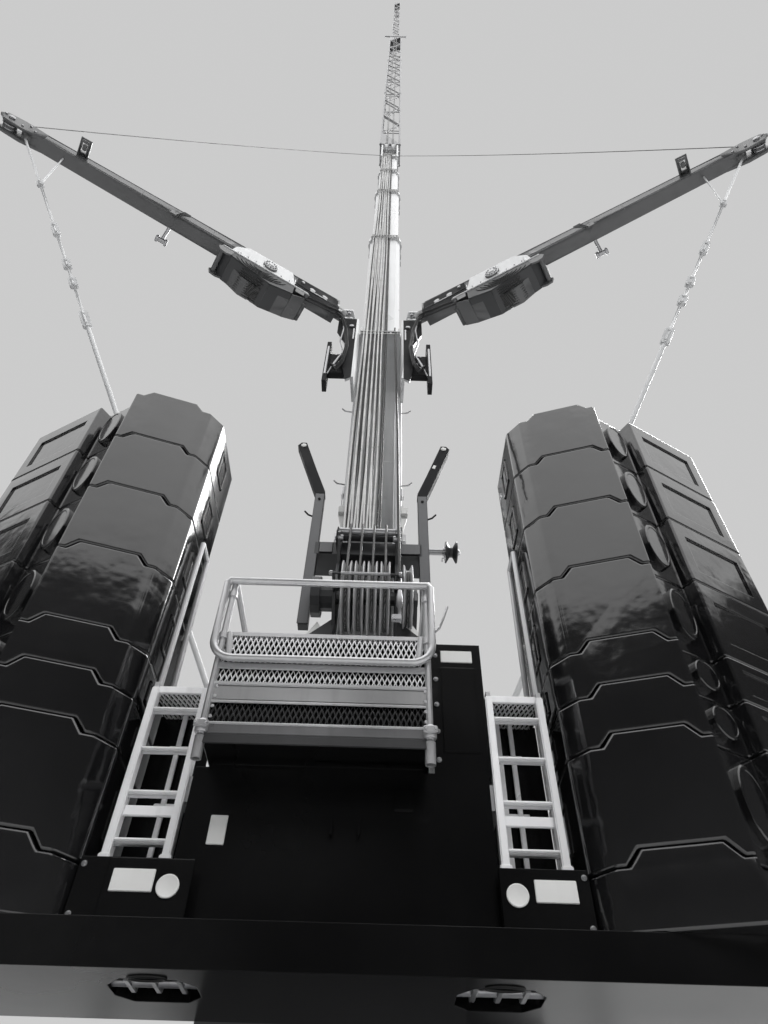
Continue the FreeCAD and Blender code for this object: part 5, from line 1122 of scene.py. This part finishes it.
# The ropes over the sheaves take the steel rope's darkened grey: painted shade.
part = bmesh.new()
for x, radius in SHEAVES:
    groove = radius - 5.2
    wrap = sheave_arc(x, groove, range(20, -181, -12))
    if x < 50:
        wrap = [(x, -134.4, 508), (x, -137.4, 484), (x, -143, 452)] + wrap
    tube(part, wrap, 1.7, 8)
    for shift in (-1.1, 1.1):
        tube(part, sheave_arc(x + shift, groove - 1, range(10, -181, -10)), 1.1, 6)
settle(part, "sheave_ropes", BOOM, "boom", rope_steel_painted_shade)

part = bmesh.new()
tube(part, ((33, -66, 1262), (38, -80, 940), (40.4, -98, 780), (41.4, -124, 560), (42.4, -152, 420),
            (42.6, -161, 358)), 2.1, 8)
settle(part, "side_winch_rope", BOOM, "boom", rope_dark)

part = bmesh.new()
for side in (-1, 1):
    for y, z, size in ((-160.5, 386, 3.4), (-131, 483, 3.4), (-119, 509, 3.8)):
        lathe(part, ((0, size), (3, size), (4.4, size * 0.6), (4.6, 0.1)), (side * 41.5, y, z), (side, 0, 0), 18)
    lathe(part, ((0, 3.6), (4, 3.6), (5, 2.4)), (side * 76, -80, 492), (side, 0, 0), 6)
for y, z, radius in ((-131, 483, 3.6), (-119, 509, 5.0)):
    for x in (-42, 34):
        lathe(part, ((0, radius + 0.4), (1, radius + 1.2), (7, radius + 1.2), (8, radius + 0.4)), (x, y, z), ACROSS, 24)
block(part, (-38, 38), (-119.5, -116.5), (514.2, 516.4), 0.5)
lathe(part, ((0, 2.2), (62, 2.2)), (-31, -160.5, 386), ACROSS, 14)
lathe(part, ((0, 6.4), (3, 6.4), (3.4, 4.6), (26, 4.6), (26.4, 6.0), (30, 6.0)), (80, -95, 498), ACROSS, 18)
lathe(part, ((0, 4.6), (5, 4.6), (7.4, 3.0), (8.0, 0.1)), (123.2, -95, 498), ACROSS, 18)
lathe(part, ((0, 5.4), (0.6, 6.0), (69.4, 6.0), (70, 5.4)), (-35, -119, 509), ACROSS, 24)
block(part, (33, 45), (-165, -159), (309, 318), 1.0)
tube(part, ((110, -97, 492), (110, -99, 484), (104, -100, 480), (104, -100, 474)), 0.9, 6)
lathe(part, ((0, 2.6), (10, 3.8), (24, 3.8), (28, 2.2), (42, 2.0)), (42.6, -161, 358), (0, 0, -1), 14)
settle(part, "sheave_rollers_and_pins", BOOM, "boom", steel_bright)

part = bmesh.new()
block(part, (-70, -50), (-105.0, -102.8), (481, 503), 1.2)
block(part, (44, 74), (-105.0, -102.8), (481, 503), 1.2)
block(part, (45.4, 48), (-104.6, -58), (504, 540), 0.8)
for side in (-1, 1):
    block(part, (side * 71.8, side * 86.2), (-102.8, -101.6), (352, 614), 0.6)
settle(part, "sheave_beam_lids", BOOM, "boom", upper_grey)

# Pale boxes at the boom's sides; their white partly paints a highlight on their ends.
part = bmesh.new()
for side, x in ((-1, 47), (1, 53)):
    block(part, (side * (x - 6), side * (x + 5)), (-67, -58.2), (612, 630), 1.4)
    drawn(part, [(side * (x - 5), -60, 574), (side * (x - 3), -60, 574), (side * (x + 5), -60, 611),
                 (side * (x - 5), -60, 611)],
          (0, -1.4, 0))
settle(part, "boom_junction_boxes", BOOM, "boom", sign_white)

part = bmesh.new()
lathe(part, ((0, 3.6), (0.6, 4.2), (69.4, 4.2), (70, 3.6)), (-35, -131, 483), ACROSS, 24)
for side in (-1, 1):
    drawn(part, [(side * 42.6, y, z) for y,
                 z in ((-104, 484), (-104, 512), (-112, 518), (-124, 514), (-136, 488), (-136, 478), (-126, 476))],
          (side * 1.6, 0, 0))
for side in (-1, 1):
    upper = [(side * x, -89.2, z) for x, z in ((71.4, 616), (86.6, 614), (127.4, 741), (122, 749.2), (113.2, 749.2))]
    drawn(part, [(x, -102.4, z) for x, _, z in upper], (0, 13.6, 0))
    tube(part, ((side * 85, -96, 566), (side * 93, -98, 568), (side * 99, -98, 576)), 1.3, 8)
    lathe(part, ((0, 2.2), (1.6, 2.2), (2.2, 1.4)), (side * 79, -102.8, 600), REAR, 6)
settle(part, "horn_sleeves", BOOM, "boom", seal_black)

part = bmesh.new()
for side in (-1, 1):
    lathe(part, ((0, 4.4), (1.0, 4.4), (1.6, 3.6), (1.8, 0.1)), (side * 117.5, -102.4, 741), REAR, 24)
blank_plate(part, (100, -102.6, 690), 5, 9, 0.6, up=(0.35, 0, 1))
for side in (-1, 1):
    for k in range(2):
        drawn(part, [(side * x, -101.0 - k, z) for x, z in ((42, 322), (80, 322), (60, 356))], (0, -0.6, 0))
settle(part, "horn_reflectors", BOOM, "boom", sign_white)


# Boom head and lattice extension: tube chords with zigzag braces, cross frames and a pulley box, and a slimmer top.
# Cross struts are welded between the chords at every second bay, and ropes run up inside it to the tip.
lattice_grey = painted("lattice_grey", (0.24, 0.24, 0.245), 0.42, mottle=0.15, dirt=0.3, relief=0.1, grain=90)
dress("boom_extension", lattice_grey)
dress("hook_block", sheave_grey)
part = bmesh.new()
for half, low_z, pitch, count in ((41.0, 3200, 420.0, 7), (28.0, 6500, 620.0, 4)):
    for side in (-1, 1):
        across_bar, deep_bar = bmesh.new(), bmesh.new()
        tube(across_bar, ((-half, side * half, 0), (half, side * half, 0)), 1.9, 6)
        tube(deep_bar, ((side * half, -half, 0), (side * half, half, 0)), 1.9, 6)
        for bar in (across_bar, deep_bar):
            in_row(part, bar, Matrix.Translation((0, 0, low_z)), count, (0, 0, pitch))
for x in (-1, 1):
    for y in (-1, 1):
        for z in (3012, 4080, 5140, 6205):
            lathe(part, [(-5, 4.0), (-5, 5.6), (5, 5.6), (5, 4.0)], (x * 39.5, y * 39.5, z), UP, 12, True)
settle(part, "lattice_struts", BOOM, "boom_section_4", lattice_grey)

part = bmesh.new()
for x, y, low_z, high_z in ((-16, -44.5, 2815, 6216), (-11, -44.5, 2815, 6216), (9, -44.5, 2815, 6216),
                            (14, -44.5, 2815, 6216),
                            (-3, -31, 6216, 8905)):
    tube(part, ((x, y, low_z), (x * 0.8, y, (low_z + high_z) / 2), (x * 0.6, y, high_z)), 1.2, 6)
settle(part, "lattice_ropes", BOOM, "boom_section_4", rope_steel_painted_shade)

HEAD_SHEAVES = ((-40, 2925), (38, 2925), (0, 2875))
part = bmesh.new()
for y, z in HEAD_SHEAVES:
    for x in (-14, 14):
        lathe(part, [(-8.6, 12), (-8.6, 21.6), (-6.6, 21.8), (-2, 17), (2, 17), (6.6, 21.8), (8.6, 21.6), (8.6, 12)],
              (x, y, z), ACROSS, 32, True)
for side in (-1, 1):
    for y, z in HEAD_SHEAVES:
        lathe(part, ((0, 8), (2, 8), (3, 6.5)), (side * 33.2, y, z), (side, 0, 0), 20)
    lathe(part, ((0, 7), (3, 8.5), (5, 8.5), (6, 6)), (side * 76, -43, 6214), (side, 0, 0), 18)
for x in (-8.6, 8.6):
    lathe(part, [(-1.6, 14), (-1.6, 23.6), (1.6, 23.6), (1.6, 14)], (x * 0.35, 40, 8924), ACROSS, 28, True)
settle(part, "head_sheaves", BOOM, "boom_section_4", sheave_pale)

HOOK_Y, HOOK_TOP = 65.5, 8804
part = bmesh.new()
for side in (-1, 1):
    lathe(part, ((0, 25.2), (1.6, 25.2), (3.2, 19), (3.2, 8), (5.0, 7), (5.4, 4)), (side * 12, HOOK_Y, HOOK_TOP - 26),
          (side, 0, 0), 36)
    for t in range(6):
        angle = radians(60 * t + 30)
        lathe(part, ((0, 1.5), (1.6, 1.5), (2, 1)),
              (side * 14.6, HOOK_Y + 21.5 * cos(angle), HOOK_TOP - 26 + 21.5 * sin(angle)), (side, 0, 0), 6)
lathe(part, ((0, 8), (5, 8.4), (8, 6.8)), (0, HOOK_Y, HOOK_TOP - 60), UP, 20)
block(part, (-1, 1), (HOOK_Y - 15, HOOK_Y - 1), (HOOK_TOP - 80, HOOK_TOP - 78), 0.6)
tube(part, ((0, HOOK_Y - 1, HOOK_TOP - 66), (0, HOOK_Y - 13, HOOK_TOP - 79)), 0.9, 6)
settle(part, "hook_block_covers", BOOM, "hook_block", sheave_grey)


# Luffing cylinder: painted barrel with a gland, bands and an oil pipe, and a chromed rod up to the boom's lug.
chrome = painted("rod_chrome", (0.72, 0.72, 0.73), 0.10, metal=1.0, mottle=0.05, dirt=0.05, relief=0.01, grain=60)
dress("luffing_barrel", boom_grey)
dress("luffing_rod", chrome)
LUFF, EYE_ALONG, EYE_FRONT = radians(89), 760, 78
eye_y = -108 + EYE_ALONG * cos(LUFF) + EYE_FRONT * sin(LUFF)
eye_z = 375 + EYE_ALONG * sin(LUFF) - EYE_FRONT * cos(LUFF)
cylinder_foot = Vector((0, 145, 272))
cylinder_run = (Vector((0, eye_y, eye_z)) - cylinder_foot).normalized()
cylinder_front = Vector((0, cylinder_run.z, -cylinder_run.y))
part = bmesh.new()
for at in (40, 190, 340):
    lathe(part, [(-5, 18.4), (-5, 20.6), (5, 20.6), (5, 18.4)], cylinder_foot + cylinder_run * at, cylinder_run, 32,
          True)
lathe(part, [(-28, 18.6), (-26, 21.8), (-18, 21.8), (-2, 18), (0, 13.2), (1.0, 13.2)],
      cylinder_foot + cylinder_run * 470, cylinder_run, 32, True)
for x in (-6, 6):
    pipe = [cylinder_foot + cylinder_run * at + Vector((x, 0, 0)) + cylinder_front * 22.5 for at in (60, 200, 330, 452)]
    tube(part, [cylinder_foot + cylinder_run * 52 + Vector((x, 15, -4))] + pipe, 1.6, 8)
settle(part, "luffing_barrel_bands", SLEW, "luffing_barrel", steel_bright)


# Guying arms: two tapered box arms of welded plate, hinged at the boom base's end, each with a winch in a housing.
# Each stay is a bar with pinned link plates; the guy rope runs from the arm's tip pulley to the boom's head.
HOUSING_FRONT = 36.0
# A much darker copy of the boom's grey: the arms' paint with their shade painted into it.
arm_grey_painted_shade = painted("arm_grey_painted_shade", (0.09, 0.091, 0.093), 0.30, coat=0.2, mottle=0.10, dirt=0.35, relief=0.06, grain=50,
                   swell=0.04)


def arm_place(side):
    """An arm's own frame within the boom's: X runs out along the arm."""
    return Matrix.Scale(side, 4, ACROSS) @ Matrix.Translation((77, -103, 1230)) @ Matrix.Rotation(radians(-30.5), 4,
                                                                                                  "Z")


def stay_ends(side):
    """A stay's foot and top in the boom's frame."""
    return Vector((side * 75, 0, 55)), arm_place(side) @ Vector((686, 0, -24))


def face_y(x):
    """The arm's rear face at a distance from its root."""
    return -(38 - 12 * (x - 26) / 672) / 2


def low_z(x):
    """The arm's lower face at a distance from its root."""
    return -(42 - 16 * (x - 26) / 672) / 2


def squeezed(x):
    """Draws the outer part of the winch housing a little shorter than the CAD's."""
    return x if x < 204 else 204 + (x - 204) * 0.84


for side, word in ((-1, "left"), (1, "right")):
    body = "guying_arm_" + word
    arm = BOOM @ arm_place(side)

    part = merged_copy(body)
    for vert in part.verts:
        spot = arm.inverted() @ vert.co
        if spot.z < -38.5:
            spot.y = min(spot.y, HOUSING_FRONT)
            spot.x = squeezed(spot.x)
            if spot.x > 230 and spot.z < -45:
                spot.z = -42 + (spot.z + 42) * 0.75
        elif 380 < spot.x < 425 and spot.y < -19:
            spot = Vector((401, -13, -12))
        elif 584 < spot.x < 604 and spot.z > 15.5:
            spot.y, spot.z = -16 - (spot.z - 14) * 1.3, 8 + spot.y * 0.8
        vert.co = arm @ spot
    bmesh.ops.dissolve_degenerate(part, dist=2e-6, edges=part.edges)
    beam = settle(part, "arm_beam_" + word, Matrix.Identity(4), body, arm_grey_painted_shade)
    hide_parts(body)

    part = bmesh.new()
    for share, radius in ((0.55, 0.8), (-0.9, 0.6)):
        tube(part, [(x, face_y(x) - 0.2, low_z(x) * share) for x in (34, 690)], radius, 6)
    for x in (320, 470, 600):
        tube(part, ((x, face_y(x) - 0.2, low_z(x)), (x, face_y(x) - 0.2, -low_z(x))), 0.6, 6)
    settle(part, "arm_seams_" + word, arm, body, steel_dark)

    part = bmesh.new()
    drawn(part, [(x, -22.2, z) for x, z in ((132, -42.5), (276, -42.5), (268, -13), (243, 13), (143, 15))], (0, 1.6, 0))
    block(part, (100, squeezed(309)), (-23.6, -19), (-42.4, -38.6), 0.8)
    for x in (134, 204, 262):
        block(part, (x - 1, x + 1), (-24.4, -21), (-38, -14 if x != 204 else 10), 0.4)
    lathe(part, ((0, 14.5), (2.4, 14.5), (3.4, 13), (3.4, 6), (6.0, 5.4), (6.4, 0.1)), (192, -23.8, -18), REAR, 32)
    block(part, (56, 98), (face_y(70) - 1.6, face_y(70) + 0.5), (-15, -12.4), 0.4)
    settle(part, "winch_covers_" + word, arm, body, boom_grey)

    part = bmesh.new()
    in_ring(part, bolt_head(1.7, 2.4), Matrix.Translation((192, -27.0, -18)) @ Matrix.Rotation(pi / 2, 4, "X"), 12,
            11.5)
    for x in (146, 165, 222, 240, 256):
        lathe(part, ((0, 1.6), (1.4, 1.6), (2.0, 1.0)), (x, -23.8, -36), REAR, 6)
    for x, z in ((690, 6), (700, -10), (734, 2), (678, -6)):
        lathe(part, ((0, 2.4), (1.8, 2.4), (2.4, 1.6)), (x, -14, z), REAR, 6)
    lathe(part, ((0, 6), (2.2, 6), (3, 4.8)), (722, -14, -2), REAR, 20)
    lathe(part, [(-4.5, 6), (-4.5, 14.2), (-3, 14.4), (-1, 10.5), (1, 10.5), (3, 14.4), (4.5, 14.2), (4.5, 6)],
          (722, 0, -2), (0, 1, 0), 32, True)
    for y in (-20, 20):
        lathe(part, ((-1.5, 4), (1.5, 4), (2, 3)), (0, y * 0.9, -13), (0, 0, -1), 12)
    tube(part, ((400, 10, -8), (401, 24, -20), (403, 39, -34)), 3.6, 10)
    lathe(part, ((0, 6.4), (1, 7.4), (5, 7.4), (6, 5.0), (18, 5.0), (19, 7.4), (23, 7.4), (24, 6.4)), (391, 39, -34),
          ACROSS, 18)
    lathe(part, ((0, 2.6), (3.4, 3.6), (5, 3.2)), (400.5, -13, -12), (0, -1, -0.7), 12)
    settle(part, "arm_fastenings_" + word, arm, body, steel_bright)

    part = bmesh.new()
    ring = bmesh.new()
    tube(ring, [(23.6 * c, 0, 23.6 * s) for c, s in circle(24)], 1.5, 6, closed=True)
    in_row(part, ring, Matrix.Translation((204, 2, -67)), 9, (0, 2.9, 0))
    settle(part, "arm_winch_rope_" + word, arm, body, rope_dark)

    part = bmesh.new()
    belly = [(squeezed(x), z) for x, z in ((133, -77), (182, -91), (236, -77.3), (281, -63.8), (306, -45.8))]
    for (x0, z0), (x1, z1) in zip(belly, belly[1:]):
        out = Vector((z1 - z0, 0, x0 - x1)).normalized()
        rim = [Vector((x0, -20.8, z0)) + out * 0.2, Vector((x1, -20.8, z1)) + out * 0.2]
        drawn(part, rim + [rim[1] + Vector((0, HOUSING_FRONT + 20.4, 0)),
                           rim[0] + Vector((0, HOUSING_FRONT + 20.4, 0))], out * 0.9)
    drawn(part, [(x, -21.2, z) for x, z in [(132, -42.6)] + belly + [(squeezed(306), -42.6)]], (0, -0.9, 0))
    settle(part, "winch_shell_" + word, arm, body, sheave_grey)
    part = bmesh.new()
    for k in range(10):
        y = -16 + k * 5.2
        tube(part, [(200 + 66 * cos(t), y, -44 - 45.4 * sin(t)) for t in (pi * k / 18 for k in range(5, 15))], 1.1, 6)
    for radius in (9, 14, 19, 24, 29):
        tube(part, [(206 + radius * 1.9 * cos(t), -22.6, -50 - radius * 1.1 * sin(t)) for t in
                    (pi * k / 16 for k in range(1, 16))], 0.8, 6)
    settle(part, "winch_rope_turns_" + word, arm, body, rope_dark)

    part = bmesh.new()
    plan = [(x - 17, z) for x, z in ((284, -40), (309, -40), (317, -50), (313, -62), (300, -66), (288, -62))]
    for y in (-22.4, HOUSING_FRONT - 4):
        drawn(part, [(x, y, z) for x, z in plan], (0, 4, 0))
    lathe(part, ((0, 4), (1, 5), (HOUSING_FRONT + 20, 5), (HOUSING_FRONT + 21, 4)), (291, -22, -54), (0, 1, 0), 16)
    block(part, (101, 129), (-22.6, -20.6), (-62, -42), 1.4)
    drawn(part, [(x, y, z) for x, y, z in ((104, -20.6, -63), (132, -20.6, -78), (132, HOUSING_FRONT, -78),
                                           (104, HOUSING_FRONT, -63))],
          (-0.5, 0, -0.9))
    lathe(part, ((0, 5.5), (6, 5.5), (7, 4)), (104, -22, -58), REAR, 16)
    settle(part, "winch_end_plates_" + word, arm, body, arm_grey_painted_shade)

    part = bmesh.new()
    drawn(part, [(x, face_y(70) - 0.8, z) for x, z in ((30, -18), (100, -18), (128, -14), (128, 13), (30, 15))],
          (0, 0.6, 0))
    settle(part, "arm_root_shade_" + word, arm, body, seal_black)
    part = bmesh.new()
    for x in (62, 92):
        lathe(part, ((0, 6.4), (0.7, 6.4), (1.0, 5.4)), (x, face_y(70) - 0.9, -6), REAR, 18)
    lathe(part, ((0, 4), (2, 4), (3, 3)), (116, face_y(110) - 1.0, 3), REAR, 14)
    settle(part, "arm_root_eyes_" + word, arm, body, sheave_pale)

    part = bmesh.new()
    tube(part, ((112, -12, -44), (98, -20, -52), (76, -24, -54), (52, -22, -46), (34, -20, -34), (20, -16, -28),
                (8, -12, -34), (2, -8, -46)),
         2.4, 10)
    tube(part, ((116, -8, -44), (100, -16, -58), (74, -20, -62), (48, -18, -54), (28, -16, -42), (14, -12, -38),
                (4, -8, -50)), 1.8, 8)
    settle(part, "arm_hoses_" + word, arm, body, hose_black)

    part = bmesh.new()
    block(part, (393, 409), (-18.4, -16), (-21, -6), 0.6)
    block(part, (590, 598), (-38, -26), (4, 12), 1.2)
    tube(part, ((585, -14, 8), (585, -47, 8), (603, -47, 8), (603, -14, 8)), 1.8, 8)
    settle(part, "arm_lamp_" + word, arm, body, arm_grey_painted_shade)

    part = bmesh.new()
    tip = arm @ Vector((716, 0, 12))
    head = BOOM @ Vector((side * 26, -40, 2836))
    line = []
    for k in range(17):
        u = k / 16
        spot = tip.lerp(head, u)
        spot.z -= 0.020 * 4 * u * (1 - u)
        line.append(spot)
    tube(part, line, 0.00085, 6)
    settle(part, "guy_rope_" + word, Matrix.Identity(4), body, rope_dark)

    part = bmesh.new()
    foot, top = stay_ends(side)
    run = top - foot
    unit = run.normalized()
    flat = unit.cross(Vector((0, 1, 0))).normalized()
    out = unit.cross(flat)
    for at, reach, wide in ((0.645, 17.5, 7.0), (0.708, 10, 6.6), (0.742, 10, 6.6), (0.807, 15, 6.0), (0.900, 5, 6.0)):
        middle = foot + run * at
        for edge in (-1, 1):
            drawn(part, [middle + unit * a * reach + flat * b * wide + out * edge * 2.6 for a, b in
                         ((-1, -0.5), (-0.8, -1), (0.8, -1), (1, -0.5), (1, 0.5), (0.8, 1), (-0.8, 1), (-1, 0.5))],
                  out * edge * 1.4)
            for pin in (0.6, -0.6):
                lathe(part, ((0, 2.4), (1.4, 2.4), (2.0, 1.6)), middle + unit * reach * pin + out * edge * 4,
                      out * edge, 6)
    tube(part, (foot + run * 0.02, foot + run * 0.632), 3.6, 10)
    tube(part, (foot + run * 0.900, top - Vector((side * 58, -34, -8))), 1.6, 8)
    settle(part, "stay_links_" + word, BOOM, "boom", boom_grey)


# Base section and stays: the welded base section with the stays' links, which are pinned on lower down than in the CAD.
# A copy takes the CAD node's place, with the links slid along the two stays.
part = merged_copy("boom_base")
turned = BOOM.inverted()
for vert in part.verts:
    spot = turned @ vert.co
    side = 1 if spot.x > 0 else -1
    foot, top = stay_ends(side)
    run = top - foot
    at = (spot - foot).dot(run) / run.length_squared
    if 0.74 < at < 0.985 and (spot - foot - run * at).length < 12:
        old, new = min(((0.775, 0.645), (0.868, 0.708), (0.888, 0.742), (0.922, 0.807), (0.965, 0.900)),
                       key=lambda pair: abs(at - pair[0]))
        vert.co = BOOM @ (spot + run * (new - old))
base_section = settle(part, "boom_base_section", Matrix.Identity(4), "boom", boom_grey)
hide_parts("boom_base")


low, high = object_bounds()
{"cad": [list(cad_low), list(cad_high)], "visual": [list(low), list(high)]}
